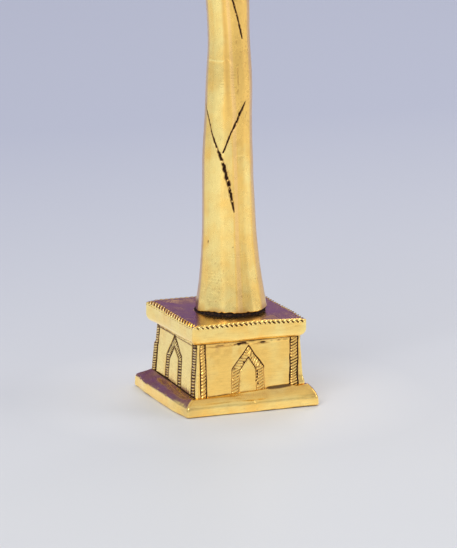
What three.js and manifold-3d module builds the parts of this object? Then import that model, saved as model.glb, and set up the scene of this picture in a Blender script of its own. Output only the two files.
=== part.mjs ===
// A brass souvenir bottle opener that stands on a square plinth, as the pieces it comes apart into.
//
// Millimetres, +Z up. The origin is on the ground, under the middle of the plinth, and the plinth's
// front face looks along -Y. A stud and a nut clamp foot, die, cap and stem into one stack, and the
// opener loop's tang is pinned into the top of the stem.
import * as THREE from "three";
import { mergeVertices } from "three/addons/utils/BufferGeometryUtils.js";
import Module from "manifold-3d";

const manifold = await Module();
manifold.setup();

// ---------------------------------------------------------------- driving dimensions

const GAP = 0.3; // clearance between a piece and the bore or recess that holds it
const THROUGH = 1; // how far a cutter runs past the face that it opens

// Foot: a slab with an upright edge and a bevel that rises to the die.
const FOOT_HALF = 23;
const FOOT_BOTTOM = 0.2;
const FOOT_EDGE_TOP = 3.6;
const FOOT_TOP = 6.2;
const FOOT_CORNER = 0.7;
const FOOT_ARRIS_HEIGHT = 0.5; // of the worn edges above and below the upright one
const FOOT_LOWER_ARRIS = 0.3;
const FOOT_UPPER_ARRIS = 0.4;
const PLUG_HEIGHT = 3; // locating plug that stands up inside the die

// Die: the hollow middle block, tapered. It sits a little towards the front right corner of the foot.
const DIE_X = 0.45;
const DIE_Y = -0.45;
const DIE_TOP = 22.8;
const DIE_TOP_HALF = 17.9;
const DIE_TAPER = 0.061; // growth of the half width for each millimetre downwards
const DIE_FOOT_HALF = DIE_TOP_HALF + DIE_TAPER * (DIE_TOP - FOOT_TOP);
const DIE_CORNER = 0.8;
const CAVITY_HALF = 15;

// Cap: the top slab, rounded along its lower edge.
const CAP_HALF = 19.9;
const CAP_TOP = 29.1;
const CAP_EDGE_RADIUS = 2.3;
const CAP_ARRIS = 0.3;
const CAP_CORNER = 0.7;
const CAP_PLUG_DEPTH = 2.5;

// Panels on the die: a pointed arch between two upright borders, drawn with engraved lines.
const LINE_WIDTH = 0.5;
const LINE_DEPTH = 0.35;
const BORDER_CENTRE = 15.6;
const BORDER_WIDTH = 2.4;
const ARCH_HALF = 5.7;
const ARCH_SHOULDER = 7.9; // heights above the top of the foot, up the face
const ARCH_APEX = 15;
const ARCH_BAND = 2.8;
const SHOULDER_DROP = 1 / 3; // how much lower the inner line runs, for each millimetre inwards
const APEX_DROP = 1.3;
const PANEL_FOOT = 0.8;
const PANEL_TOP = 16;

// Stem: its round section changes size and wanders sideways as it rises.
const STEM_X = 0.9;
const STEM_Y = -0.8;
const STEM_BOTTOM = 30.3;
const STEM_TOP = 139;
const STEM_EDGE = 0.4;
// height, radius, sideways lean
const STEM_SECTIONS = [
  [STEM_BOTTOM, 11.7, 0.5],
  [42, 10.0, 0.15],
  [54, 8.95, -0.35],
  [66, 8.5, -0.8],
  [80, 8.15, -1.2],
  [92, 7.7, -1.1],
  [104, 7.48, -0.9],
  [118, 6.75, -1.1],
  [130, 6.92, -1.65],
  [STEM_TOP, 7.2, -2.3],
];

// Fixings under the plinth: a stud, a washer and a thin nut, in a counterbore behind the felt.
const STUD_RADIUS = 3;
const STUD_BOTTOM = 1.4;
const STUD_TOP = 46;
const NUT_ACROSS_FLATS = 10;
const NUT_HEIGHT = 3.2;
const WASHER_RADIUS = 6;
const WASHER_HEIGHT = 1;
const COUNTERBORE_RADIUS = 8;
const SEAT_RADIUS = 11.6;
const FELT_THICKNESS = 1.2;
const FELT_HALF = 21;

// Opener loop: a pointed arch with a lifting lip, on a round neck with a tang.
const COLLAR_HEIGHT = 4;
const COLLAR_RADIUS = 9;
const COLLAR_EDGE_RADIUS = 7.6;
const TANG_RADIUS = 3;
const TANG_LENGTH = 14;
const TANG_X = -2.4;
const PIN_RADIUS = 1.2;
const PIN_DROP = 6; // below the top of the stem
const PIN_LENGTH = 13.6;
// height, half width, half depth of the neck
const NECK_SECTIONS = [
  [0, 7.3, 7.3],
  [3, 6.5, 6.1],
  [6, 6.5, 4.6],
  [10, 5.7, 3],
];
const LOOP_THICKNESS = 6.5;
const LOOP_BEVEL = 0.8;
const LOOP_HALF = 22.8;
const LOOP_BAR = 5.8;
const LOOP_ROOT_HALF = 5.8;
const LOOP_ROOT = 3; // heights above the top of the collar
const LOOP_ROOT_PULL = 9; // of the two handles of the curve that spreads the loop
const LOOP_SIDE_PULL = 8;
const LOOP_SIDE_BOTTOM = 18;
const LOOP_SHOULDER = 25.5;
const LOOP_APEX = 48;
const LOOP_BOW = 1.2; // how far the sloping sides swell outwards
const OPENING_BOTTOM = 12;
const OPENING_CORNER = 6;
const LIP_WIDTH = 13;
const LIP_TIP_WIDTH = 10;
const LIP_HEIGHT = 3.2;
const LIP_THICKNESS = 2.6;

// How finely the curved faces are cut into flats.
const CORNER_STEPS = 5;
const ROUND_STEPS = 48;
const SMALL_STEPS = 32;
const STEM_RINGS = 36;

// ---------------------------------------------------------------- solids

// A closed geometry as a solid that can be joined and cut.
function solid(geometry) {
  const bare = geometry.clone();
  bare.deleteAttribute("normal");
  bare.deleteAttribute("uv");
  const merged = mergeVertices(bare, 1e-4);
  const mesh = new manifold.Mesh({
    numProp: 3,
    vertProperties: merged.attributes.position.array,
    triVerts: new Uint32Array(merged.index.array),
  });
  return new manifold.Manifold(mesh);
}

// The surface of a solid as a three.js geometry.
function surface(body) {
  const mesh = body.getMesh();
  const geometry = new THREE.BufferGeometry();
  geometry.setAttribute("position", new THREE.BufferAttribute(mesh.vertProperties, 3));
  geometry.setIndex(new THREE.BufferAttribute(mesh.triVerts, 1));
  geometry.computeVertexNormals();
  return geometry;
}

// A closed skin over a stack of level outlines that all have the same number of points.
function loft(rings) {
  const count = rings[0].length;
  const positions = [];
  const triangles = [];
  for (const ring of rings) {
    for (const point of ring) positions.push(point.x, point.y, point.z);
  }
  for (let level = 0; level + 1 < rings.length; level++) {
    for (let i = 0; i < count; i++) {
      const a = level * count + i;
      const b = level * count + ((i + 1) % count);
      triangles.push(a, b, b + count, a, b + count, a + count);
    }
  }
  const last = (rings.length - 1) * count;
  const middle = (ring) => ring.reduce((sum, p) => sum.add(p), new THREE.Vector3()).divideScalar(count);
  const bottom = middle(rings[0]);
  const top = middle(rings[rings.length - 1]);
  positions.push(bottom.x, bottom.y, bottom.z, top.x, top.y, top.z);
  for (let i = 0; i < count; i++) {
    const next = (i + 1) % count;
    triangles.push(next, i, last + count);
    triangles.push(last + i, last + next, last + count + 1);
  }
  const geometry = new THREE.BufferGeometry();
  geometry.setAttribute("position", new THREE.Float32BufferAttribute(positions, 3));
  geometry.setIndex(triangles);
  return geometry;
}

// A square outline with rounded corners, at height z, round the point x, y.
function squareRing(half, corner, z, centreX = 0, centreY = 0) {
  const points = [];
  for (let quarter = 0; quarter < 4; quarter++) {
    for (let step = 0; step <= CORNER_STEPS; step++) {
      const angle = ((quarter + step / CORNER_STEPS) * Math.PI) / 2;
      const middle = ((quarter + 0.5) * Math.PI) / 2;
      const x = Math.sign(Math.cos(middle)) * (half - corner) + corner * Math.cos(angle);
      const y = Math.sign(Math.sin(middle)) * (half - corner) + corner * Math.sin(angle);
      points.push(new THREE.Vector3(centreX + x, centreY + y, z));
    }
  }
  return points;
}

// An oval outline at height z, round when both radii are alike.
function ovalRing(radiusX, radiusY, z, shift = 0) {
  const points = [];
  for (let i = 0; i < ROUND_STEPS; i++) {
    const angle = (i / ROUND_STEPS) * 2 * Math.PI;
    const x = shift + radiusX * Math.cos(angle);
    points.push(new THREE.Vector3(x, radiusY * Math.sin(angle), z));
  }
  return points;
}

// An upright cylinder from one height to another.
function rod(radius, low, high, x = 0, y = 0, sides = SMALL_STEPS) {
  const geometry = new THREE.CylinderGeometry(radius, radius, high - low, sides);
  return geometry.rotateX(Math.PI / 2).translate(x, y, (low + high) / 2);
}

// An upright square block from one height to another.
function block(half, low, high) {
  return new THREE.BoxGeometry(2 * half, 2 * half, high - low).translate(0, 0, (low + high) / 2);
}

// A flat ring: a washer, with square edges.
function washer(inner, outer, height) {
  const profile = [
    new THREE.Vector2(inner, 0),
    new THREE.Vector2(outer, 0),
    new THREE.Vector2(outer, height),
    new THREE.Vector2(inner, height),
    new THREE.Vector2(inner, 0),
  ];
  return new THREE.LatheGeometry(profile, ROUND_STEPS).rotateX(Math.PI / 2);
}

// ---------------------------------------------------------------- plinth

function footPlate() {
  const slab = loft([
    squareRing(FOOT_HALF - FOOT_LOWER_ARRIS, FOOT_CORNER, FOOT_BOTTOM),
    squareRing(FOOT_HALF, FOOT_CORNER, FOOT_BOTTOM + FOOT_ARRIS_HEIGHT),
    squareRing(FOOT_HALF, FOOT_CORNER, FOOT_EDGE_TOP - FOOT_ARRIS_HEIGHT),
    squareRing(FOOT_HALF - FOOT_UPPER_ARRIS, FOOT_CORNER, FOOT_EDGE_TOP),
    squareRing(DIE_FOOT_HALF, DIE_CORNER, FOOT_TOP, DIE_X, DIE_Y),
  ]);
  const plugTop = FOOT_TOP + PLUG_HEIGHT;
  const recess = block(FELT_HALF + GAP, FOOT_BOTTOM - THROUGH, FELT_THICKNESS);
  const counterboreTop = STUD_BOTTOM + NUT_HEIGHT + WASHER_HEIGHT;
  return solid(slab)
    .add(solid(block(CAVITY_HALF - GAP, FOOT_TOP - THROUGH, plugTop)))
    .subtract(solid(recess))
    .subtract(solid(rod(COUNTERBORE_RADIUS, 0, counterboreTop, STEM_X, STEM_Y, ROUND_STEPS)))
    .subtract(solid(rod(STUD_RADIUS + GAP, 0, plugTop + THROUGH, STEM_X, STEM_Y)));
}

// The two lines of the arch and the four border lines, as [from, to] pairs up the face.
function panelLines() {
  const lines = [];
  for (const side of [-1, 1]) {
    for (const edge of [-0.5, 0.5]) {
      const x = side * BORDER_CENTRE + edge * BORDER_WIDTH;
      lines.push([new THREE.Vector2(x, PANEL_FOOT), new THREE.Vector2(x, PANEL_TOP)]);
    }
    for (const inset of [0, ARCH_BAND]) {
      const x = side * (ARCH_HALF - inset);
      const shoulder = new THREE.Vector2(x, ARCH_SHOULDER - SHOULDER_DROP * inset);
      lines.push([new THREE.Vector2(x, PANEL_FOOT), shoulder]);
      lines.push([shoulder, new THREE.Vector2(0, ARCH_APEX - APEX_DROP * inset)]);
    }
  }
  return lines;
}

// Cutters for one face of the die, turned to the face that is `quarter` turns on from the front.
function panelCutters(quarter) {
  const tilt = Math.atan(DIE_TAPER);
  const along = new THREE.Vector3(1, 0, 0);
  const up = new THREE.Vector3(0, Math.sin(tilt), Math.cos(tilt));
  const out = new THREE.Vector3(0, -Math.cos(tilt), Math.sin(tilt));
  const face = new THREE.Matrix4().makeBasis(along, up, out).setPosition(0, -DIE_FOOT_HALF, FOOT_TOP);
  face.premultiply(new THREE.Matrix4().makeRotationZ((quarter * Math.PI) / 2));
  face.premultiply(new THREE.Matrix4().makeTranslation(DIE_X, DIE_Y, 0));
  return panelLines().map(([from, to]) => {
    const run = to.clone().sub(from);
    const height = LINE_DEPTH + THROUGH;
    const cutter = new THREE.BoxGeometry(run.length() + LINE_WIDTH, LINE_WIDTH, height);
    cutter.rotateZ(run.angle());
    cutter.translate((from.x + to.x) / 2, (from.y + to.y) / 2, height / 2 - LINE_DEPTH);
    return solid(cutter.applyMatrix4(face));
  });
}

function plinthBody() {
  const walls = loft([
    squareRing(DIE_FOOT_HALF, DIE_CORNER, FOOT_TOP, DIE_X, DIE_Y),
    squareRing(DIE_TOP_HALF, DIE_CORNER, DIE_TOP, DIE_X, DIE_Y),
  ]);
  let body = solid(walls).subtract(solid(block(CAVITY_HALF, FOOT_TOP - THROUGH, DIE_TOP + THROUGH)));
  for (let quarter = 0; quarter < 4; quarter++) {
    for (const cutter of panelCutters(quarter)) body = body.subtract(cutter);
  }
  return body;
}

function capPlate() {
  const rings = [];
  const arcSteps = 5;
  for (let step = 0; step <= arcSteps; step++) {
    const angle = ((step / arcSteps) * Math.PI) / 2;
    const half = CAP_HALF - CAP_EDGE_RADIUS * (1 - Math.sin(angle));
    rings.push(squareRing(half, CAP_CORNER, DIE_TOP + CAP_EDGE_RADIUS * (1 - Math.cos(angle))));
  }
  rings.push(squareRing(CAP_HALF, CAP_CORNER, CAP_TOP - CAP_ARRIS));
  rings.push(squareRing(CAP_HALF - CAP_ARRIS, CAP_CORNER, CAP_TOP));
  const plugBottom = DIE_TOP - CAP_PLUG_DEPTH;
  return solid(loft(rings))
    .add(solid(block(CAVITY_HALF - GAP, plugBottom, DIE_TOP + THROUGH)))
    .subtract(solid(rod(STUD_RADIUS + GAP, plugBottom - THROUGH, CAP_TOP + THROUGH, STEM_X, STEM_Y)));
}

// ---------------------------------------------------------------- stem

function stem() {
  const sections = STEM_SECTIONS.map(([z, radius, lean]) => new THREE.Vector3(radius, lean, z));
  const course = new THREE.CatmullRomCurve3(sections, false, "centripetal").getPoints(STEM_RINGS);
  const rings = course.map((at) => ovalRing(at.x, at.x, at.z, at.y));
  const [foot] = STEM_SECTIONS;
  rings[0] = ovalRing(foot[1] - STEM_EDGE, foot[1] - STEM_EDGE, STEM_BOTTOM, foot[2]);
  rings.splice(1, 0, ovalRing(foot[1], foot[1], STEM_BOTTOM + STEM_EDGE, foot[2]));
  const tangBottom = STEM_TOP - TANG_LENGTH;
  return solid(loft(rings))
    .subtract(solid(rod(STUD_RADIUS + GAP, STEM_BOTTOM - THROUGH, STUD_TOP)))
    .subtract(solid(rod(TANG_RADIUS + GAP, tangBottom, STEM_TOP + THROUGH, TANG_X)))
    .subtract(solid(crossBore(2 * COLLAR_RADIUS).translate(TANG_X, 0, STEM_TOP - PIN_DROP)));
}

// The hole for the pin, along Y.
function crossBore(length) {
  return new THREE.CylinderGeometry(PIN_RADIUS + GAP, PIN_RADIUS + GAP, length, SMALL_STEPS);
}

// ---------------------------------------------------------------- fixings

function nut() {
  const acrossCorners = NUT_ACROSS_FLATS / Math.cos(Math.PI / 6);
  const hexagon = rod(acrossCorners / 2, 0, NUT_HEIGHT, 0, 0, 6);
  return solid(hexagon).subtract(solid(rod(STUD_RADIUS + GAP, -THROUGH, NUT_HEIGHT + THROUGH)));
}

// ---------------------------------------------------------------- opener loop

function collar() {
  const profile = [new THREE.Vector2(TANG_RADIUS + GAP, 0)];
  const bulge = COLLAR_RADIUS - COLLAR_EDGE_RADIUS;
  const steps = 8;
  for (let step = 0; step <= steps; step++) {
    const angle = (step / steps) * Math.PI;
    const radius = COLLAR_EDGE_RADIUS + bulge * Math.sin(angle);
    profile.push(new THREE.Vector2(radius, (COLLAR_HEIGHT / 2) * (1 - Math.cos(angle))));
  }
  profile.push(new THREE.Vector2(TANG_RADIUS + GAP, COLLAR_HEIGHT));
  profile.push(profile[0].clone());
  return new THREE.LatheGeometry(profile, ROUND_STEPS).rotateX(Math.PI / 2);
}

// Continues a path to a point along a shallow curve that swells to its right.
function bowTo(path, x, y) {
  const from = path.currentPoint.clone();
  const swell = (2 * LOOP_BOW) / Math.hypot(x - from.x, y - from.y);
  const middle = new THREE.Vector2((from.x + x) / 2, (from.y + y) / 2);
  path.quadraticCurveTo(middle.x + swell * (y - from.y), middle.y - swell * (x - from.x), x, y);
}

// The loop's outline, from the neck up one side, over the apex and down the other.
function loopOutline() {
  const outline = new THREE.Shape();
  outline.moveTo(-LOOP_ROOT_HALF, LOOP_ROOT);
  outline.lineTo(LOOP_ROOT_HALF, LOOP_ROOT);
  const pull = LOOP_ROOT_HALF + 1;
  outline.bezierCurveTo(pull, LOOP_ROOT_PULL, LOOP_HALF, LOOP_SIDE_PULL, LOOP_HALF, LOOP_SIDE_BOTTOM);
  outline.lineTo(LOOP_HALF, LOOP_SHOULDER);
  bowTo(outline, 0, LOOP_APEX);
  bowTo(outline, -LOOP_HALF, LOOP_SHOULDER);
  outline.lineTo(-LOOP_HALF, LOOP_SIDE_BOTTOM);
  outline.bezierCurveTo(-LOOP_HALF, LOOP_SIDE_PULL, -pull, LOOP_ROOT_PULL, -LOOP_ROOT_HALF, LOOP_ROOT);
  return outline;
}

// The opening, one bar's width inside the outline: flat at the bottom, pointed at the top.
function loopOpening() {
  const half = LOOP_HALF - LOOP_BAR;
  const pitch = (LOOP_APEX - LOOP_SHOULDER) / LOOP_HALF;
  const apex = LOOP_APEX - LOOP_BAR * Math.hypot(1, pitch);
  const corner = OPENING_CORNER;
  const opening = new THREE.Path();
  opening.moveTo(-half + corner, OPENING_BOTTOM);
  opening.lineTo(half - corner, OPENING_BOTTOM);
  opening.absarc(half - corner, OPENING_BOTTOM + corner, corner, -Math.PI / 2, 0, false);
  opening.lineTo(half, apex - pitch * half);
  bowTo(opening, 0, apex);
  bowTo(opening, -half, apex - pitch * half);
  opening.absarc(-half + corner, OPENING_BOTTOM + corner, corner, Math.PI, 1.5 * Math.PI, false);
  return opening;
}

// The tooth that hooks under a crown cap's edge, rooted in the bottom of the opening.
function lip() {
  const tooth = new THREE.Shape();
  tooth.moveTo(-LIP_WIDTH / 2, OPENING_BOTTOM - THROUGH);
  tooth.lineTo(LIP_WIDTH / 2, OPENING_BOTTOM - THROUGH);
  tooth.lineTo(LIP_TIP_WIDTH / 2, OPENING_BOTTOM + LIP_HEIGHT);
  tooth.lineTo(-LIP_TIP_WIDTH / 2, OPENING_BOTTOM + LIP_HEIGHT);
  const geometry = new THREE.ExtrudeGeometry(tooth, { depth: LIP_THICKNESS, bevelEnabled: false });
  return geometry.rotateX(Math.PI / 2).translate(0, LIP_THICKNESS / 2, 0);
}

function openerHead() {
  const outline = loopOutline();
  outline.holes.push(loopOpening());
  const loop = new THREE.ExtrudeGeometry(outline, {
    depth: LOOP_THICKNESS - 2 * LOOP_BEVEL,
    bevelThickness: LOOP_BEVEL,
    bevelSize: LOOP_BEVEL,
    bevelOffset: -LOOP_BEVEL,
    bevelSegments: 2,
    curveSegments: 14,
  });
  loop.rotateX(Math.PI / 2).translate(0, LOOP_THICKNESS / 2 - LOOP_BEVEL, 0);
  const neck = loft(NECK_SECTIONS.map(([z, halfWidth, halfDepth]) => ovalRing(halfWidth, halfDepth, z)));
  const tangBottom = -COLLAR_HEIGHT - TANG_LENGTH;
  const pinHeight = -COLLAR_HEIGHT - PIN_DROP;
  return solid(loop)
    .add(solid(neck))
    .add(solid(lip()))
    .add(solid(rod(TANG_RADIUS, tangBottom, THROUGH)))
    .subtract(solid(crossBore(3 * TANG_RADIUS).translate(0, 0, pinHeight)));
}

// ---------------------------------------------------------------- the assembly

function brass(color, roughness) {
  return new THREE.MeshStandardMaterial({ color, roughness, metalness: 1 });
}

function piece(name, geometry, material, parent, z = 0, x = 0) {
  const mesh = new THREE.Mesh(geometry, material);
  mesh.name = name;
  mesh.position.set(x, 0, z);
  parent.add(mesh);
  return mesh;
}

const opener = new THREE.Group();

const plinth = new THREE.Group();
opener.add(plinth);
piece("foot_plate", surface(footPlate()), brass(0xd9a94f, 0.38), plinth);
piece("plinth_body", surface(plinthBody()), brass(0xe2b252, 0.35), plinth);
piece("cap_plate", surface(capPlate()), brass(0xdfb763, 0.33), plinth);
const felt = new THREE.MeshStandardMaterial({ color: 0x2b2f3a, roughness: 1, metalness: 0 });
piece("base_pad", block(FELT_HALF, 0, FELT_THICKNESS), felt, plinth);

const column = new THREE.Group();
column.position.set(STEM_X, STEM_Y, 0);
opener.add(column);
piece("stem", surface(stem()), brass(0xe6c678, 0.3), column);
const seat = washer(STUD_RADIUS + GAP, SEAT_RADIUS, STEM_BOTTOM - CAP_TOP);
piece("seat_washer", seat, brass(0x3a2a16, 0.6), column, CAP_TOP);
const steel = () => new THREE.MeshStandardMaterial({ color: 0xb9bcc0, roughness: 0.4, metalness: 1 });
piece("tie_stud", rod(STUD_RADIUS, STUD_BOTTOM, STUD_TOP), steel(), column);
piece("stud_nut", surface(nut()), steel(), column, STUD_BOTTOM);
const flatWasher = washer(STUD_RADIUS + GAP, WASHER_RADIUS, WASHER_HEIGHT);
piece("stud_washer", flatWasher, steel(), column, STUD_BOTTOM + NUT_HEIGHT);

const head = new THREE.Group();
head.position.set(TANG_X, 0, STEM_TOP);
column.add(head);
piece("neck_collar", collar(), brass(0xdcae57, 0.35), head);
piece("opener_head", surface(openerHead()), brass(0xe2bd6a, 0.3), head, COLLAR_HEIGHT);
const pin = new THREE.CylinderGeometry(PIN_RADIUS, PIN_RADIUS, PIN_LENGTH, SMALL_STEPS);
piece("head_pin", pin, brass(0xc99a48, 0.4), head, -PIN_DROP);

export default opener;
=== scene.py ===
"""Looks of a brass souvenir bottle opener on a square plinth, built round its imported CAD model.

Lengths are millimetres in the row frame (+Z up, the front face looks along -Y) until they are
written into a mesh in metres.
"""
import math

import bpy
import numpy as np
from mathutils import Matrix, Vector

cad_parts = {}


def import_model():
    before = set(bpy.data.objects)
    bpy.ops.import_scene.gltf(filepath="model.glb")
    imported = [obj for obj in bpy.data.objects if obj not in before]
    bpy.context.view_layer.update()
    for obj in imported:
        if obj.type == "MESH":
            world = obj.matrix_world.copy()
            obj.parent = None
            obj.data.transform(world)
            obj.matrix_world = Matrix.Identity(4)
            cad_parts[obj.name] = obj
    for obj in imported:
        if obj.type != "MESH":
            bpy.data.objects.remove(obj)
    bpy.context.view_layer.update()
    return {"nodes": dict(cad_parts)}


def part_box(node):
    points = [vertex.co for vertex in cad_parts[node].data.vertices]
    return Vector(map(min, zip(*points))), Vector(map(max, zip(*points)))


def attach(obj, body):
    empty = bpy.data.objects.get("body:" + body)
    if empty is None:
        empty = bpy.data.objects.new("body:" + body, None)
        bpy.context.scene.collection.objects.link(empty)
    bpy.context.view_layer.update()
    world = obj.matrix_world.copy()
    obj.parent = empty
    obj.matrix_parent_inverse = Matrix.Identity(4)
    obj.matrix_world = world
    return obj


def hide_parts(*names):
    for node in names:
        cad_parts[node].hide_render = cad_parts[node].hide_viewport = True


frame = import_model()

MM = 0.001

# ---- sizes not held by a node's box

FOOT_EDGE_TOP = 3.5  # top of the foot's upright edge
FOOT_CORNER = 0.7
DIE_CORNER = 0.7
CAP_CORNER = 0.7
CAP_EDGE_RADIUS = 2.3
HOLE_RADIUS = 3.3
NOTCH_BAND = 1.9  # how far the notches reach in from the cap's edge
ROPE_PITCH = 1.0
ROPE_LEAN = 0.6  # of the strands, in pitches over half the band's width
LINE_HALF = 0.3  # half the width of an engraved line
LINE_DEPTH = 0.4
ARCH_BAND = 2.7
CELL = 0.17  # spacing of the fine meshes
COARSE = 2.5  # spacing where nothing shows
FRONT, RIGHT, REAR, LEFT = range(4)  # faces of the plinth

# ---- numbers

LATTICE = np.random.default_rng(11).uniform(-1, 1, (32, 32, 32))


def noise(points, size, seed=0):
    """Smooth repeatable noise of points in space, from -1 to 1, with bumps about `size` across."""
    p = np.asarray(points, float) / size + 64 + 7.31 * seed
    cell = np.floor(p).astype(int)
    t = p - cell
    t = t * t * (3 - 2 * t)
    total = np.zeros(p.shape[:-1])
    for corner in np.ndindex(2, 2, 2):
        share = np.prod(np.where(corner, t, 1 - t), axis=-1)
        x, y, z = np.moveaxis((cell + corner) % 32, -1, 0)
        total += share * LATTICE[x, y, z]
    return total


def ramp(value, low, high):
    """0 below low, 1 above high, smooth between. It falls instead when low is above high."""
    t = np.clip((value - low) / (high - low), 0, 1)
    return t * t * (3 - 2 * t)


def handmade(points, amount=0.09, size=9.0):
    """Bends points a little, the same way for every piece, as casting and filing by hand leave them."""
    shift = [noise(points, size, seed) for seed in (1, 2, 3)]
    return points + amount * np.stack(shift, axis=-1)


def darkest(*marks):
    """The largest of several marks at each point."""
    return np.maximum.reduce(np.broadcast_arrays(*marks))


def segment_distance(points, start, end):
    """Distance of 2-D points from a segment, and how far along it each one is."""
    start, end = np.array(start, float), np.array(end, float)
    run = end - start
    length = np.linalg.norm(run)
    along = np.clip(((points - start) @ run) / length**2, 0, 1)
    away = np.linalg.norm(points - start - along[..., None] * run, axis=-1)
    return away, along * length


def box_mm(node):
    low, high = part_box(node)
    return np.array(low) / MM, np.array(high) / MM


def mesh_points(mesh):
    """A mesh's points in millimetres."""
    points = np.zeros(len(mesh.vertices) * 3, np.float32)
    mesh.vertices.foreach_get("co", points)
    return points.reshape(-1, 3).astype(float) / MM


# ---- meshes


def linked(name, data):
    """A new object in the scene."""
    thing = bpy.data.objects.new(name, data)
    bpy.context.scene.collection.objects.link(thing)
    return thing


def write_mesh(name, points, loops, sizes, **marks):
    """A smooth-shaded object from points in millimetres. Each mark is one number per point."""
    mesh = bpy.data.meshes.new(name)
    mesh.vertices.add(len(points))
    mesh.vertices.foreach_set("co", (np.asarray(points) * MM).astype(np.float32).ravel())
    mesh.loops.add(len(loops))
    mesh.loops.foreach_set("vertex_index", np.asarray(loops, np.int32))
    starts = np.concatenate([[0], np.cumsum(sizes)[:-1]]).astype(np.int32)
    mesh.polygons.add(len(sizes))
    mesh.polygons.foreach_set("loop_start", starts)
    mesh.polygons.foreach_set("use_smooth", np.ones(len(sizes), bool))
    mesh.update(calc_edges=True)
    for mark, values in marks.items():
        set_mark(mesh, mark, values)
    return linked(name, mesh)


def set_mark(mesh, mark, values):
    attribute = mesh.attributes.get(mark) or mesh.attributes.new(mark, "FLOAT", "POINT")
    attribute.data.foreach_set("value", np.asarray(values, np.float32).ravel())


def skin(name, rows, closed=False, **marks):
    """A mesh over rows of points that each close on themselves, from low to high seen from outside.

    With closed, the last row joins the first, as on a ring. Otherwise a fan closes each end.
    """
    row_count, column_count = rows.shape[:2]
    points = rows.reshape(-1, 3)
    index = np.arange(len(points)).reshape(row_count, column_count)
    here = np.vstack([index, index[:1]]) if closed else index
    right = np.roll(here, -1, axis=1)
    quads = np.stack([here[:-1], right[:-1], right[1:], here[1:]], axis=-1).reshape(-1, 4)
    marks = {mark: np.ravel(values) for mark, values in marks.items()}
    fans = np.zeros((0, 3), int)
    if not closed:
        low, high = len(points), len(points) + 1
        points = np.vstack([points, rows[0].mean(0), rows[-1].mean(0)])
        bottom, top = index[0], index[-1]
        below = np.stack([np.roll(bottom, -1), bottom, np.full(column_count, low)], axis=-1)
        above = np.stack([top, np.roll(top, -1), np.full(column_count, high)], axis=-1)
        fans = np.vstack([below, above])
        for mark, values in marks.items():
            grid = values.reshape(row_count, column_count)
            marks[mark] = np.concatenate([values, [grid[0].mean(), grid[-1].mean()]])
    loops = np.concatenate([quads.ravel(), fans.ravel()])
    sizes = np.concatenate([np.full(len(quads), 4), np.full(len(fans), 3)])
    return write_mesh(name, points, loops, sizes, **marks)


class SquareColumns:
    """The columns round a rounded square, anticlockwise from the left end of the front face."""

    def __init__(self, side_steps, corner_steps=5):
        reach, out, face = [], [], []
        for turn in range(4):
            angle = turn * math.pi / 2
            along = np.array([math.cos(angle), math.sin(angle)])
            normal = np.array([math.sin(angle), -math.cos(angle)])
            for place in np.linspace(-1, 1, side_steps + 1):
                reach.append(place * along + normal)
                out.append(normal)
                face.append(turn)
            for step in range(1, corner_steps):
                bend = step / corner_steps * math.pi / 2
                reach.append(along + normal)
                out.append(math.cos(bend) * normal + math.sin(bend) * along)
                face.append(-1)
        self.reach = np.array(reach)
        self.out = np.array(out)
        self.face = np.array(face)
        self.out3 = np.column_stack([self.out, np.zeros(len(out))])

    def square(self, half, corner, z, centre=(0, 0)):
        xy = np.asarray(centre)[:2] + (half - corner) * self.reach + corner * self.out
        return np.column_stack([xy, np.full(len(xy), float(z))])

    def round(self, radius, z, centre):
        spoke = self.reach / np.linalg.norm(self.reach, axis=1, keepdims=True)
        xy = np.asarray(centre)[:2] + radius * spoke
        return np.column_stack([xy, np.full(len(xy), float(z))])

    def along_face(self, rows, centre=(0, 0)):
        """How far along its own face each point is, from the face's middle."""
        angle = self.face * math.pi / 2
        return (rows[..., 0] - centre[0]) * np.cos(angle) + (rows[..., 1] - centre[1]) * np.sin(angle)

    def per_face(self, front, right, rear, left):
        """One value for each face. The rounded corners have the front's."""
        return np.choose(self.face, [front, right, rear, left], mode="clip")

    def move_out(self, rows, amount):
        """Rows moved along the outward normals of their columns."""
        return rows + amount[..., None] * self.out3


def spread(stations, closed):
    """Rows through the stations, each a (row, spacing) pair, with rows added to keep each spacing."""
    rows = []
    following = stations[1:] + (stations[:1] if closed else [])
    for (low, spacing), (high, _) in zip(stations, following):
        gap = np.linalg.norm(high - low, axis=1).max()
        steps = max(1, math.ceil(gap / spacing - 1e-6))
        rows += [low + (high - low) * step / steps for step in range(steps)]
    if not closed:
        rows.append(stations[-1][0])
    return np.array(rows)


# ---- node materials


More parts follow.
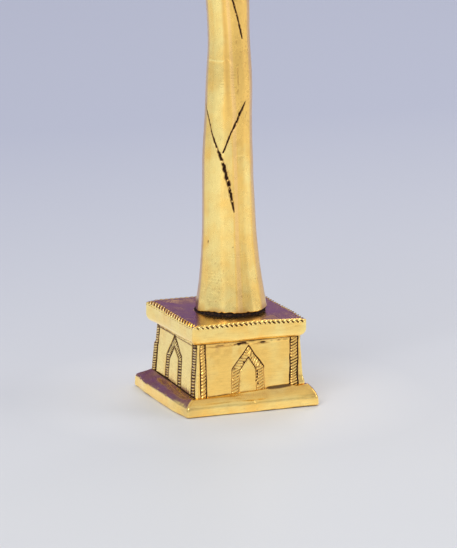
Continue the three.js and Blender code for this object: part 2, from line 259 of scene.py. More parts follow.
class Paint:
    """The node tree of a material or a world, with short calls for the nodes used here."""

    def __init__(self, owner, coordinates="Object"):
        self.owner = owner
        owner.use_nodes = True
        self.tree = owner.node_tree
        self.tree.nodes.clear()
        self.place = self.add("ShaderNodeTexCoord").outputs[coordinates]

    def add(self, kind, settings=None, **inputs):
        node = self.tree.nodes.new(kind)
        for name, value in (settings or {}).items():
            setattr(node, name, value)
        for name, value in inputs.items():
            self.feed(node.inputs[name.replace("_", " ")], value)
        return node

    def feed(self, socket, value):
        if isinstance(value, bpy.types.NodeSocket):
            self.tree.links.new(value, socket)
        elif socket.type == "RGBA":
            socket.default_value = (*value, 1)
        else:
            socket.default_value = value

    def math(self, operation, a, b=0.0, clamp=False):
        node = self.add("ShaderNodeMath", {"operation": operation, "use_clamp": clamp})
        self.feed(node.inputs[0], a)
        self.feed(node.inputs[1], b)
        return node.outputs[0]

    def mix(self, share, a, b, blend="MIX"):
        node = self.add("ShaderNodeMix", {"data_type": "RGBA", "blend_type": blend})
        self.feed(node.inputs[0], share)
        self.feed(node.inputs[6], a)
        self.feed(node.inputs[7], b)
        return node.outputs[2]

    def blend(self, share, a, b):
        node = self.add("ShaderNodeMix", {"data_type": "FLOAT"})
        self.feed(node.inputs[0], share)
        self.feed(node.inputs[2], a)
        self.feed(node.inputs[3], b)
        return node.outputs[0]

    def mark(self, name):
        return self.add("ShaderNodeAttribute", {"attribute_name": name}).outputs["Fac"]

    def range(self, value, low, high, to_low=0.0, to_high=1.0, kind="LINEAR"):
        node = self.add("ShaderNodeMapRange", {"interpolation_type": kind}, Value=value)
        limits = {"From Min": low, "From Max": high, "To Min": to_low, "To Max": to_high}
        for name, number in limits.items():
            node.inputs[name].default_value = number
        return node.outputs[0]

    def grain(self, size, stretch=(1, 1, 1), detail=3.0, rough=0.5, shift=0.0):
        """Noise from 0 to 1 with bumps `size` millimetres across, stretched by `stretch`."""
        place = self.add("ShaderNodeMapping", Vector=self.place)
        place.inputs["Scale"].default_value = [1 / (size * MM * s) for s in stretch]
        place.inputs["Location"].default_value = (shift, shift, shift)
        return self.add(
            "ShaderNodeTexNoise", Vector=place.outputs[0], Scale=1.0, Detail=detail, Roughness=rough
        ).outputs["Fac"]

    def bump(self, height, strength, distance, normal=None):
        node = self.add("ShaderNodeBump", Strength=strength, Distance=distance * MM, Height=height)
        if normal is not None:
            self.feed(node.inputs["Normal"], normal)
        return node.outputs[0]

    def finish(self, **inputs):
        shader = self.add("ShaderNodeBsdfPrincipled", **inputs)
        self.add("ShaderNodeOutputMaterial", Surface=shader.outputs[0])
        return self.owner


def new_paint(name):
    return Paint(bpy.data.materials.new(name))


YELLOW_BRASS = (0.97, 0.78, 0.30)
ORANGE_BRASS = (0.97, 0.64, 0.18)
PEACH_HIGHLIGHT_BRASS = (0.99, 0.65, 0.24)
STREAK_BROWN = (0.62, 0.38, 0.11)
FILM_AND_SHADE_BROWN = (0.42, 0.19, 0.05)
SPECK_BROWN = (0.25, 0.12, 0.04)
RIM_REFLECTION_BROWN = (0.36, 0.2, 0.17)
RESIDUE_AND_SHADE_BLACK = (0.042, 0.018, 0.010)


def brass(name, file_stretch, roughness, scratch, stain, rim):
    """Hand-filed brass, dark in the cavities and in painted shade, with file marks along one direction.

    The mark "tone" shades the metal from yellow to orange, and above 1 to peach. Besides the metal's own
    tints it carries painted reflections and painted highlights.
    """
    paint = new_paint(name)
    cavity = paint.mark("cavity")
    tone = paint.mark("tone")
    cloud = paint.grain(7.0, detail=2.0)
    shade = paint.math("ADD", paint.range(cloud, 0.3, 0.7), tone, clamp=True)
    metal = paint.mix(shade, YELLOW_BRASS, ORANGE_BRASS)
    streaks = paint.grain(0.4, file_stretch, detail=3.0, rough=0.55, shift=3.0)
    metal = paint.mix(paint.range(streaks, 0.4, 0.75, 0.0, 1.6 * stain), metal, STREAK_BROWN)
    # Painted highlight: peach where the mark is above 1, as along the stem's ridge.
    metal = paint.mix(paint.range(tone, 1.1, 1.6), metal, PEACH_HIGHLIGHT_BRASS)
    # A thin brown film in patches, thicker round the cavities, where polish doesn't reach. Where the cavity
    # mark holds painted shade or painted reflection, the same brown paints it.
    film_and_shade = paint.grain(3.2, detail=4.0, rough=0.55, shift=9.0)
    near_cavity = paint.range(cavity, 0.0, 0.5, 0.0, 0.6)
    film_and_shade = paint.math("ADD", paint.range(film_and_shade, 0.55, 0.8, 0.0, 1.4 * stain), near_cavity, clamp=True)
    metal = paint.mix(film_and_shade, metal, FILM_AND_SHADE_BROWN)
    specks = paint.range(paint.grain(0.7, detail=1.0, shift=21.0), 0.78, 0.84, 0.0, 0.4)
    metal = paint.mix(specks, metal, SPECK_BROWN)
    # Painted reflection: at grazing angles the metal turns brown, by rim, for the blue backdrop reflected
    # at its edges.
    grazing = paint.add("ShaderNodeLayerWeight", Blend=0.5).outputs["Facing"]
    metal = paint.mix(paint.range(grazing, 0.5, 0.85, 0.0, rim), metal, RIM_REFLECTION_BROWN)
    # High cavity marks turn black: residue in the hollows, and painted shade where the mark holds it.
    dirt_and_shade = paint.range(cavity, 0.45, 0.9)
    colour = paint.mix(dirt_and_shade, metal, RESIDUE_AND_SHADE_BLACK)
    fine = paint.grain(2.5, detail=3.0, shift=5.0)
    rough = paint.range(fine, 0.3, 0.7, roughness - 0.03, roughness + 0.05)
    rough = paint.math("ADD", rough, paint.math("MULTIPLY", film_and_shade, 0.12))
    rough = paint.blend(dirt_and_shade, rough, 0.75)
    marks = paint.bump(streaks, scratch, 0.012)
    marks = paint.bump(paint.grain(2.2, detail=2.0, shift=13.0), 0.25, 0.05, marks)
    return paint.finish(
        Base_Color=colour,
        Metallic=paint.blend(dirt_and_shade, 1.0, 0.2),
        Roughness=rough,
        Specular_IOR_Level=paint.blend(dirt_and_shade, 0.5, 0.08),
        Normal=marks,
    )


def blackened_brass():
    paint = new_paint("blackened_brass")
    crust = paint.grain(0.9, detail=5.0, rough=0.7)
    colour = paint.mix(paint.range(crust, 0.52, 0.75), (0.010, 0.006, 0.006), (0.13, 0.055, 0.02))
    return paint.finish(
        Base_Color=colour,
        Metallic=paint.range(crust, 0.5, 0.75, 0.0, 0.6),
        Roughness=paint.range(crust, 0.3, 0.7, 0.85, 0.6),
        Specular_IOR_Level=0.12,
        Normal=paint.bump(crust, 0.8, 0.12),
    )


def plated_steel():
    paint = new_paint("plated_steel")
    brushed = paint.grain(0.4, (1, 1, 0.15), detail=3.0)
    spangle = paint.grain(1.5, detail=2.0, shift=4.0)
    colour = paint.mix(paint.range(spangle, 0.35, 0.7), (0.60, 0.62, 0.63), (0.47, 0.47, 0.44))
    return paint.finish(
        Base_Color=colour,
        Metallic=1.0,
        Roughness=paint.range(brushed, 0.3, 0.7, 0.28, 0.45),
        Normal=paint.bump(brushed, 0.3, 0.02),
    )


def felt():
    paint = new_paint("felt")
    fibres = paint.grain(0.25, (1.0, 0.3, 1.0), detail=5.0, rough=0.75)
    tufts = paint.grain(1.8, detail=4.0, rough=0.7, shift=6.0)
    colour = paint.mix(paint.range(fibres, 0.35, 0.7), (0.012, 0.015, 0.03), (0.05, 0.055, 0.085))
    colour = paint.mix(paint.range(tufts, 0.55, 0.8, 0.0, 0.5), colour, (0.085, 0.085, 0.11))
    return paint.finish(
        Base_Color=colour,
        Metallic=0.0,
        Roughness=0.95,
        Sheen_Weight=0.35,
        Sheen_Roughness=0.5,
        Normal=paint.bump(fibres, 0.9, 0.15),
    )


MATERIALS = {
    "plinth": brass("brass_plinth", (9, 9, 1), 0.2, 0.45, 0.17, 0.0),
    "stem": brass("brass_stem", (1, 1, 9), 0.27, 0.25, 0.1, 0.8),
    "black": blackened_brass(),
    "steel": plated_steel(),
    "felt": felt(),
}


def set_material(piece, material):
    piece.data.materials.clear()
    piece.data.materials.append(MATERIALS[material])


def hand_in(piece, material, node):
    """Gives a piece its finish and its place on the one body, in place of the CAD node."""
    set_material(piece, material)
    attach(piece, "root")
    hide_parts(node)


# ---- plinth

(_, _, FOOT_BOTTOM), (FOOT_HALF, _, FOOT_PLUG_TOP) = box_mm("foot_plate")
DIE_LOW, DIE_HIGH = box_mm("plinth_body")
DIE_CENTRE = (DIE_LOW + DIE_HIGH) / 2
DIE_FOOT_HALF = DIE_HIGH[0] - DIE_CENTRE[0]
DIE_BOTTOM, DIE_TOP = DIE_LOW[2], DIE_HIGH[2]
(_, _, CAP_PLUG_BOTTOM), (CAP_HALF, _, CAP_TOP) = box_mm("cap_plate")
SEAT_LOW, SEAT_HIGH = box_mm("seat_washer")
STEM_AXIS = (SEAT_LOW + SEAT_HIGH) / 2
PLUG_HALF = 14.7
CAVITY_HALF = 15.0


def half_at(node, z):
    """Half the width of a CAD node's outline at height z."""
    points = mesh_points(frame["nodes"][node].data)
    across = points[np.abs(points[:, 2] - z) < 0.02, 0]
    return (across.max() - across.min()) / 2


DIE_TOP_HALF = half_at("plinth_body", DIE_TOP)
DIE_TAPER = (DIE_FOOT_HALF - DIE_TOP_HALF) / (DIE_TOP - DIE_BOTTOM)


def die_half(z):
    return DIE_TOP_HALF + DIE_TAPER * (DIE_TOP - z)


def joint_tilt(rows):
    """How far the joint of foot and die runs off level: it dips at the front left corner."""
    tilt = np.clip(0.72 + 0.049 * rows[..., 0] + 0.034 * rows[..., 1], -0.9, 0.8)
    return tilt * ramp(np.abs(rows[..., :2]).max(-1), PLUG_HALF + 0.5, PLUG_HALF + 2.5)


def corner_mask(rows, x, y, reach):
    """1 at a corner of the plinth, fading to 0 a reach away from it."""
    return np.exp(-np.square(np.hypot(rows[..., 0] - x, rows[..., 1] - y) / reach))


class Panel:
    """One face's pattern: an arch between two rope borders. Heights are above the foot plate.

    The borders are (middle at the top, middle at the foot, width, darkness), left and right.
    """

    def __init__(
        self, middle, apex, foot, left, right, borders,
        line=LINE_HALF, pitch=ROPE_PITCH, lean=ROPE_LEAN, dark=1.0,
    ):
        self.middle = middle  # of the arch, along the face
        self.apex = apex  # (sideways from the middle, height)
        self.foot = foot  # half width of the arch at its foot
        self.left, self.right = left, right  # shoulders, each (half width, height)
        self.borders = borders
        self.line = line  # half the width of the engraved lines
        self.pitch, self.lean = pitch, lean  # of the strands
        self.dark = dark  # how much residue the arch's strands hold

    def outline(self, inset, drop):
        """The arch's line as (across, height) points, moved in by inset and its apex down by drop."""
        (left_half, left_height), (right_half, right_height) = self.left, self.right
        apex_shift, apex_height = self.apex
        return [
            (-self.foot + inset, -1),
            (-left_half + inset, left_height - 0.3 * inset),
            (apex_shift, apex_height - drop),
            (right_half - inset, right_height - 0.3 * inset),
            (self.foot - inset, -1),
        ]


PANELS = [
    Panel(
        -0.8, (0.4, 14.9), 5.8, (5.4, 7.85), (5.6, 7.9),
        [(-16.4, -16.2, 1.9, 0.9), (15.65, 15.3, 2.7, 1.4)], dark=0.85,
    ),
    Panel(
        0.3, (0.1, 14.8), 5.7, (5.5, 8.2), (5.6, 8.4),
        [(-15.6, -16.0, 2.4, 1.2), (15.7, 15.9, 2.6, 1.1)],
    ),
    Panel(
        -0.1, (-0.2, 15.0), 5.9, (5.5, 8.0), (5.4, 7.7),
        [(-15.5, -15.8, 2.6, 1.1), (15.6, 15.6, 2.3, 1.2)],
    ),
    Panel(
        -1.3, (-0.6, 15.4), 6.9, (6.6, 7.6), (6.3, 9.6),
        [(-16.4, -17.2, 2.5, 1.5), (15.0, 15.7, 3.0, 1.5)],
        line=0.5, pitch=0.88, lean=0.22, dark=1.8,
    ),
]
# Punched pits of the front arch, all but the last beside its right jamb, as (across, height).
JAMB_PITS = [(3.3, 6.3), (3.4, 5.3), (3.3, 4.3), (3.0, 3.2), (3.6, 2.1), (-1.2, 9.7)]
# Blobs of solder residue along the top of the front face, as (across, depth below the cap, half
# length, half height, darkness).
SEAM_BLOBS = [(-3.4, 0.75, 2.3, 0.5, 1.0), (4.2, 0.9, 1.6, 0.34, 0.9), (-10.3, 0.8, 1.6, 0.5, 0.5)]


def inside_outline(across, v, outline):
    """How far inside an arch outline each point is, sideways. Negative above and outside it."""
    heights = [height for _, height in outline]
    left = np.interp(v, heights[:3], [x for x, _ in outline[:3]])
    right = np.interp(v, heights[:1:-1], [x for x, _ in outline[:1:-1]])
    inside = np.minimum(across - left, right - across)
    return np.where(v > heights[2], heights[2] - v, inside)


def rope(along, across, pitch=ROPE_PITCH, lean=ROPE_LEAN):
    """Height and cavity of a rope band: across runs from -1 to 1 over its width."""
    phase = along / pitch - lean * across
    strand = np.abs(np.sin(math.pi * phase))
    height = 0.44 * np.sqrt(strand) - 0.34 - 0.12 * np.square(across)
    return height, ramp(strand, 0.8, 0.42) * (0.7 + 0.45 * np.abs(across))


def panel_relief(face, u, v):
    """Height and cavity of a die face at u along it and v up it."""
    panel = PANELS[face]
    spot = np.stack([u, v, np.full_like(u, 40.0 * face)], axis=-1)
    u = u + 0.12 * noise(spot, 3.5, 4) + 0.05 * noise(spot, 1.1, 5)
    v = v + 0.12 * noise(spot, 3.5, 6)
    across = u - panel.middle
    flat = np.stack([across, v], axis=-1)
    outer = panel.outline(0, 0)
    inner = panel.outline(ARCH_BAND, 3.6)
    lines = []
    for path in (outer, inner):
        lines += [segment_distance(flat, a, b)[0] for a, b in zip(path, path[1:])]
    in_outer, in_inner = inside_outline(across, v, outer), inside_outline(across, v, inner)
    width = in_outer - in_inner
    place = 2 * in_outer / np.maximum(width, 0.1) - 1
    in_arch = ramp(in_outer, 0.1, 0.45) * ramp(-in_inner, 0.1, 0.45)
    shoulder = (outer[1][1] + outer[3][1]) / 2
    over = shoulder + 0.8 * (v - shoulder) - 0.6 * (np.abs(across) - outer[3][0])
    climb = np.where(v > shoulder, over, v)
    bands = [(in_arch, climb, np.sign(across) * -place, panel.dark)]
    # Low on the front face the arch's lines are shallow and hold little dirt.
    faint = 1 - 0.55 * (face == FRONT) * ramp(v, 8.2, 6.4) * ramp(np.abs(across), 8, 7)
    for top, foot, border_width, dark in panel.borders:
        middle = foot + (top - foot) * v / (DIE_TOP - DIE_BOTTOM)
        place = 2 * (u - middle) / border_width
        thicker = 0.12 * max(dark - 1, 0)
        lines += [np.abs(u - middle - edge * border_width) - thicker for edge in (-0.5, 0.5)]
        bands.append((ramp(np.abs(place), 1.0, 0.75), v, place, dark))
    near = np.min(lines, axis=0)
    pressed = 0.8 + 0.6 * noise(spot, 2.2, 8) + 0.3 * noise(spot, 0.9, 7)
    half = panel.line * (1 + 0.35 * noise(spot, 2.6, 15))
    height = -LINE_DEPTH * pressed * ramp(near, half * 1.25, 0)
    cavity = faint * ramp(near, half * 1.35, 0.06) * (0.6 + 0.6 * pressed)
    for mask, along, place, dark in bands:
        wander = 0.10 * noise(spot, 1.5, 9)
        band_height, band_cavity = rope(along + wander, np.clip(place, -1, 1), panel.pitch, panel.lean)
        height += mask * band_height
        cavity = np.maximum(cavity, dark * mask * band_cavity * (0.72 + 0.4 * noise(spot, 1.3, 10)))
    if face == FRONT:
        for pit_u, pit_v in JAMB_PITS:
            away = np.hypot(across - pit_u, v - pit_v)
            height -= 0.3 * ramp(away, 0.45, 0.1)
            cavity = np.maximum(cavity, ramp(away, 0.42, 0.2))
    return height, cavity


def seam(face, u, below):
    """Height and cavity along the soldered joint under the cap, `below` millimetres beneath it."""
    spot = np.stack([u, below, np.full_like(u, 40.0 * face)], axis=-1)
    in_bead = ramp(below, 1.4, 0.9) * ramp(noise(spot, 6.0, 46), -0.45, 0.0)
    height = in_bead * (0.14 + 0.2 * noise(spot, 0.9, 47))
    beads = 0.4 * in_bead * ramp(noise(spot, 1.3, 40), 0.0, 0.5)
    lower = ramp(np.abs(below - 1.2 - 0.25 * noise(spot, 3.0, 48)), 0.36, 0.05)
    lower = 0.5 * lower * ramp(noise(spot, 2.8, 49), -0.35, 0.15)
    upper = ramp(below, 0.5, 0.1) * (0.55 + 0.4 * noise(spot, 2.0, 43))
    cavity = darkest(beads, lower, upper)
    if face == LEFT:
        # The left face's joint is darker in a band, ending in a line on its lower side.
        dark_band = ramp(below, 1.5, 1.1) * ramp(u, 3, -6) * (0.5 + 0.3 * noise(spot, 1.6, 26))
        line = ramp(np.abs(below - 1.3), 0.35, 0.05) * (0.8 + 0.2 * noise(spot, 3.0, 25))
        cavity = darkest(cavity, dark_band, line)
    if face == FRONT:
        for blob_u, blob_v, long, tall, dark in SEAM_BLOBS:
            away = np.hypot((u - blob_u) / long, (below - blob_v) / tall) + 0.5 * noise(spot, 0.8, 41)
            height -= 0.2 * dark * ramp(away, 1.1, 0.6)
            cavity = np.maximum(cavity, dark * ramp(away, 1.35, 0.5))
    return height, cavity


def seam_shadow(points, distance, reach, seed):
    """Dark residue near a joint, `distance` away from it, with a ragged edge."""
    ragged = reach * (1 + 0.9 * noise(points, 2.2, seed) + 0.5 * noise(points, 0.8, seed + 1))
    return ramp(distance, np.maximum(ragged, 0.05), 0)


def open_joint(columns, rows, away, reach, full):
    """Where the joint of foot and die gapes, on the right half of the front face."""
    x = rows[..., 0]
    on = (columns.face == FRONT) * ramp(x, 4.5, 7) * ramp(x, 15.5, 14)
    return on * ramp(away, reach + 0.3 * noise(rows, 2.0, 23), full)


def foot_rows(columns):
    """The foot's skin: up its edge, over the ledge and the plug, down the bore and into the recess."""
    square, circle = columns.square, columns.round
    edge = FOOT_EDGE_TOP
    die = die_half(DIE_BOTTOM)
    counterbore_top = box_mm("stud_washer")[1][2]
    _, (pad_half, _, pad_top) = box_mm("base_pad")
    recess_half = pad_half + 0.3
    # (inset from the edge, height, spacing of the rows above it)
    shown = [
        (0.5, FOOT_BOTTOM, 0.2),
        (0.15, FOOT_BOTTOM + 0.12, 0.15),
        (0, FOOT_BOTTOM + 0.5, 0.3),
        (0.12, edge - 0.9, 0.15),
        (0.18, edge - 0.45, 0.12),
        (0.32, edge - 0.08, 0.12),
        (0.6, edge + 0.24, 0.12),
        (1.2, edge + 0.62, 0.2),
    ]
    stations = [(square(FOOT_HALF - inset, FOOT_CORNER, z), gap) for inset, z, gap in shown]
    stations += [
        (square(die + 0.3, DIE_CORNER, DIE_BOTTOM - 0.15, DIE_CENTRE), 0.2),
        (square(die - 0.5, DIE_CORNER, DIE_BOTTOM + 0.2, DIE_CENTRE), COARSE),
        (square(PLUG_HALF, DIE_CORNER, DIE_BOTTOM), COARSE),
        (square(PLUG_HALF, DIE_CORNER, FOOT_PLUG_TOP), 4),
        (circle(HOLE_RADIUS, FOOT_PLUG_TOP, STEM_AXIS), 4),
        (circle(HOLE_RADIUS, counterbore_top, STEM_AXIS), COARSE),
        (circle(8, counterbore_top, STEM_AXIS), COARSE),
        (circle(8, pad_top, STEM_AXIS), 5),
        (square(recess_half, DIE_CORNER, pad_top), 2),
        (square(recess_half, DIE_CORNER, FOOT_BOTTOM), 1),
    ]
    return spread(stations, closed=True)


def foot_wear(columns, rows, outer, on_ledge):
    """The foot's rows, bent, swollen and dented by casting and use."""
    edge = FOOT_EDGE_TOP
    z = rows[..., 2]
    top_edge = outer * ramp(z, 1.5, edge)
    worn = handmade(rows)
    # The ledge is nearly straight, and swells into a rounded shoulder at the front right corner.
    swell = 1.3 * corner_mask(rows, 21.5, -21.5, 4.5) + 0.08 + 0.14 * noise(rows, 4.0, 30)
    worn[..., 2] += on_ledge * swell
    # The edge of the slab wavers, and stands highest at its left corner.
    edge_height = 0.6 * corner_mask(rows, -23, 23, 5.0) - 0.35 * corner_mask(rows, -23, 13, 3.0)
    edge_height += 0.18 * noise(rows, 5.0, 35)
    worn[..., 2] += top_edge * edge_height
    corners = corner_mask(rows, -23, 23, 2.5) + corner_mask(rows, 23, -23, 2.5)
    worn = columns.move_out(worn, 0.3 * corners * outer)
    # The left side bulges, and is thicker there.
    left = (columns.face == LEFT) * ramp(np.abs(rows[..., 1]), FOOT_HALF, FOOT_HALF - 12)
    worn = columns.move_out(worn, 0.9 * left * ramp(z, DIE_BOTTOM - 0.5, edge + 0.2) * outer)
    worn[..., 2] += 0.55 * left * top_edge * ramp(z, DIE_BOTTOM, edge + 0.6)
    tilt = joint_tilt(rows)
    worn[..., 2] += tilt * ramp(z, np.where(tilt < 0, DIE_BOTTOM - 1.1, edge), DIE_BOTTOM)
    dents = ramp(noise(rows, 1.7, 33), 0.5, 0.85) * outer
    worn = columns.move_out(worn, -(0.08 * dents))
    nick = ramp(noise(rows, 1.5, 36), 0.35, 0.7) * outer * np.exp(-np.square((z - edge) / 0.35))
    worn[..., 2] -= 0.22 * nick
    return worn


def foot_residue_and_shade(columns, rows, from_die, outer, on_ledge):
    """Residue, tarnish and painted shade on the foot: black at the joint with the die, brown films
    elsewhere, the front ledge darker towards the die, a painted shadow line along the bottom edge, and
    painted shade over the glints of the front corners.
    """
    edge = FOOT_EDGE_TOP
    z = rows[..., 2]
    joint = seam_shadow(rows, from_die + 0.25, 0.5, 34) * ramp(noise(rows, 5.0, 37), -0.5, 0.3)
    joint = joint * (z > edge)
    at_die = ramp(from_die, -0.6, -0.2)
    left_joint = ramp(from_die, 0.65, 0.35) * at_die
    left_joint = 1.3 * (columns.face == LEFT) * (z > edge) * left_joint
    front_gap = open_joint(columns, rows, from_die, 0.75, 0.35) * at_die
    # The left ledge has darker streaks along it. Painted shade darkens the front corners, to dull their
    # glints.
    streak = ramp(noise(rows * (2.2, 0.3, 1.0), 2.0, 39), 0.1, 0.6)
    corners = 0.45 * corner_mask(rows, -23, -23, 1.6) + 0.35 * corner_mask(rows, 23, -23, 2.5)
    return darkest(
        0.75 * darkest(joint, left_joint, 1.1 * front_gap),
        # Painted shadow: a dark line along the bottom edge, where the foot meets the floor.
        0.7 * (ramp(z, FOOT_BOTTOM + 0.5, FOOT_BOTTOM) * ramp(noise(rows, 3.0, 38), 0.0, 0.5)),
        (columns.face == LEFT) * on_ledge * (0.04 + 0.2 * streak),
        # Painted shade round the front corners, dulling their glints.
        0.22 * corner_mask(rows, -22.5, -22.5, 3.5) * outer,
        corners * outer * ramp(z, edge - 0.8, edge - 0.2),
        (columns.face == FRONT) * on_ledge * 0.3 * ramp(from_die, 3.4, 0.6),
    )


def foot_plate():
    columns = SquareColumns(200)
    rows = foot_rows(columns)
    edge = FOOT_EDGE_TOP
    z = rows[..., 2]
    from_die = np.abs(rows[..., :2] - DIE_CENTRE[:2]).max(-1) - die_half(DIE_BOTTOM)
    outer = ramp(from_die, -0.5, 0.5)
    on_ledge = outer * ramp(z, edge - 0.2, edge + 0.8) * ramp(z, DIE_BOTTOM, DIE_BOTTOM - 1.0)
    worn = foot_wear(columns, rows, outer, on_ledge)
    cavity = foot_residue_and_shade(columns, rows, from_die, outer, on_ledge)
    tone = 0.75 * ramp(z, edge - 0.1, edge + 1.2) * ramp(noise(rows, 6.0, 29), -0.8, 0.2)
    piece = skin("foot_plate_brass", worn, closed=True, cavity=cavity, tone=tone)
    hand_in(piece, "plinth", "foot_plate")


def die_pattern(columns, rows, shown):
    """Height and cavity over the die: each face's panel, and the soldered joint above it."""
    u = columns.along_face(rows, DIE_CENTRE)[:shown]
    v = rows[:shown, :, 2] - DIE_BOTTOM
    below_cap = DIE_TOP - rows[:shown, :, 2]
    height = np.zeros(rows.shape[:2])
    cavity = np.zeros(rows.shape[:2])
    for face in (FRONT, RIGHT, REAR, LEFT):
        on = columns.face == face
        panel_height, panel_cavity = panel_relief(face, u[:, on], v[:, on])
        seam_height, seam_cavity = seam(face, u[:, on], below_cap[:, on])
        height[:shown, on] = panel_height + seam_height
        cavity[:shown, on] = darkest(panel_cavity, seam_cavity)
    return height, cavity


def plinth_body():
    columns = SquareColumns(214, 6)
    heights = np.linspace(DIE_BOTTOM, DIE_TOP, round((DIE_TOP - DIE_BOTTOM) / CELL) + 1)
    outer = [columns.square(die_half(z), DIE_CORNER, z, DIE_CENTRE) for z in heights]
    stations = [(row, 1.0) for row in outer[:-1]]
    stations.append((outer[-1], COARSE))
    stations.append((columns.square(CAVITY_HALF, DIE_CORNER, DIE_TOP), 6))
    stations.append((columns.square(CAVITY_HALF, DIE_CORNER, DIE_BOTTOM), COARSE))
    rows = spread(stations, closed=True)
    x = rows[..., 0]
    on_front = columns.face == FRONT
    outside = (np.arange(len(rows)) < len(outer))[:, None]
    height, cavity = die_pattern(columns, rows, len(outer))
    above_foot = rows[..., 2] - DIE_BOTTOM
    joint_reach = np.where(columns.face == LEFT, 0.18, 0.35)
    foot_joint = seam_shadow(rows, above_foot, joint_reach, 42) * ramp(noise(rows, 4.0, 56), -0.4, 0.4)
    gap = open_joint(columns, rows, above_foot, 0.7, 0.2) * outside
    # Brown stains on the left half of the front face: beside the rope low down, and under the cap.
    stain = ramp(x, -14.5, -15.5) * ramp(above_foot, 9, 4) + ramp(above_foot, 11, 15)
    stain = on_front * outside * stain * ramp(x, 6, -8) * ramp(noise(rows, 1.6, 22), -0.1, 0.5)
    cavity = darkest(cavity, 0.85 * outside * foot_joint, 0.8 * gap, 0.2 * stain)
    height += outside * (0.035 * noise(rows, 4.0, 45) + 0.014 * noise(rows, 1.1, 44)) - 0.2 * gap
    # A cove runs into the foot at the front right corner, and flash was left on the rear left one.
    cove = 0.5 * outside * corner_mask(rows, 19, -19, 4.0)
    height += cove * np.square(ramp(above_foot, 4.5, 0.3))
    height += 0.5 * outside * corner_mask(rows, -18, 18, 3.0) * ramp(above_foot, 10.2, 9.2)
    worn = columns.move_out(handmade(rows), height)
    worn[..., 2] += outside * joint_tilt(rows) * ramp(above_foot, 7, 0)
    # Painted reflection: each face is tinted for what it reflects, the left face palest. The front face is
    # also a little redder towards its left end.
    redder = on_front * ramp(x, 4, -18)
    tone = columns.per_face(0.35, 0.0, 0.1, -0.45) + 0.35 * redder + 0.7 * stain
    tone = np.where(columns.face < 0, 0.1, tone)
    piece = skin("plinth_body_brass", worn, closed=True, cavity=cavity, tone=tone)
    hand_in(piece, "plinth", "plinth_body")


def cap_rows(columns):
    """The cap's skin: out over its rounded underside, up its edge, over the top and down the bore."""
    square, circle = columns.square, columns.round
    stations = []
    for share in np.arange(6) / 5:
        angle = share * math.pi / 2
        half = CAP_HALF - CAP_EDGE_RADIUS * (1 - math.sin(angle))
        z = DIE_TOP - 0.25 + (CAP_EDGE_RADIUS + 0.25) * (1 - math.cos(angle))
        stations.append((square(half, CAP_CORNER + 0.8 * (1 - share), z), 0.25))
    # (inset from the edge, depth below the top, spacing of the rows that follow)
    shown = [
        (0, 1.2, 0.13),
        (0, 0.25, 0.1),
        (0.07, 0.07, 0.1),
        (0.25, 0, 0.14),
    ]
    stations += [(square(CAP_HALF - inset, CAP_CORNER, CAP_TOP - drop), gap) for inset, drop, gap in shown]
    stations += [
        (square(CAP_HALF - NOTCH_BAND - 0.3, CAP_CORNER, CAP_TOP), 0.8),
        (circle(12.5, CAP_TOP, STEM_AXIS), 0.6),
        (circle(10.5, CAP_TOP, STEM_AXIS), COARSE),
        (circle(HOLE_RADIUS, CAP_TOP, STEM_AXIS), 6),
        (circle(HOLE_RADIUS, CAP_PLUG_BOTTOM, STEM_AXIS), 6),
        (square(PLUG_HALF, DIE_CORNER, CAP_PLUG_BOTTOM), COARSE),
        (square(PLUG_HALF, DIE_CORNER, DIE_TOP), 1.2),
    ]
    return spread(stations, closed=True)


def cap_notches(columns, rows, inward, below):
    """The slanting cuts across the top arris: how deep, their band, and the residue and painted shadow in
    them.
    """
    u = columns.along_face(rows)
    left = columns.face == LEFT
    slant = np.where(left, 1.5 * inward + 1.2 * below, 0.6 * (inward - below))
    pitch = columns.per_face(1.65, 1.8, 1.8, 2.0)
    phase = (u + slant) / pitch + 0.1 * noise(rows, 3.0, 50)
    turn = (phase - np.round(phase)) * pitch
    blur = np.where(left | (columns.face == REAR), 0.5, 1.3)
    band = ramp(inward, NOTCH_BAND, NOTCH_BAND - blur) * ramp(below, 1.15, 0.35)
    band *= ramp(np.abs(u), CAP_HALF - 0.4, CAP_HALF - 1.4) * (columns.face >= 0)
    cut = ramp(np.abs(turn), 0.8, 0.08) * band * (1.0 + 0.35 * noise(rows, 3.5, 51))
    # On the left residue and painted shadow fill the inner end of each notch, and its outer end is left
    # clean.
    inner = ramp(inward, NOTCH_BAND, NOTCH_BAND - 0.3) * ramp(inward, 0.1, 0.45) * (below < 0.2)
    residue = np.where(left, 1.2 * ramp(np.abs(turn), 0.5, 0.25) * inner, ramp(cut, 0.25, 0.65))
    return cut, band, np.minimum(residue, 1) * ramp(below, 1.0, 0.5)


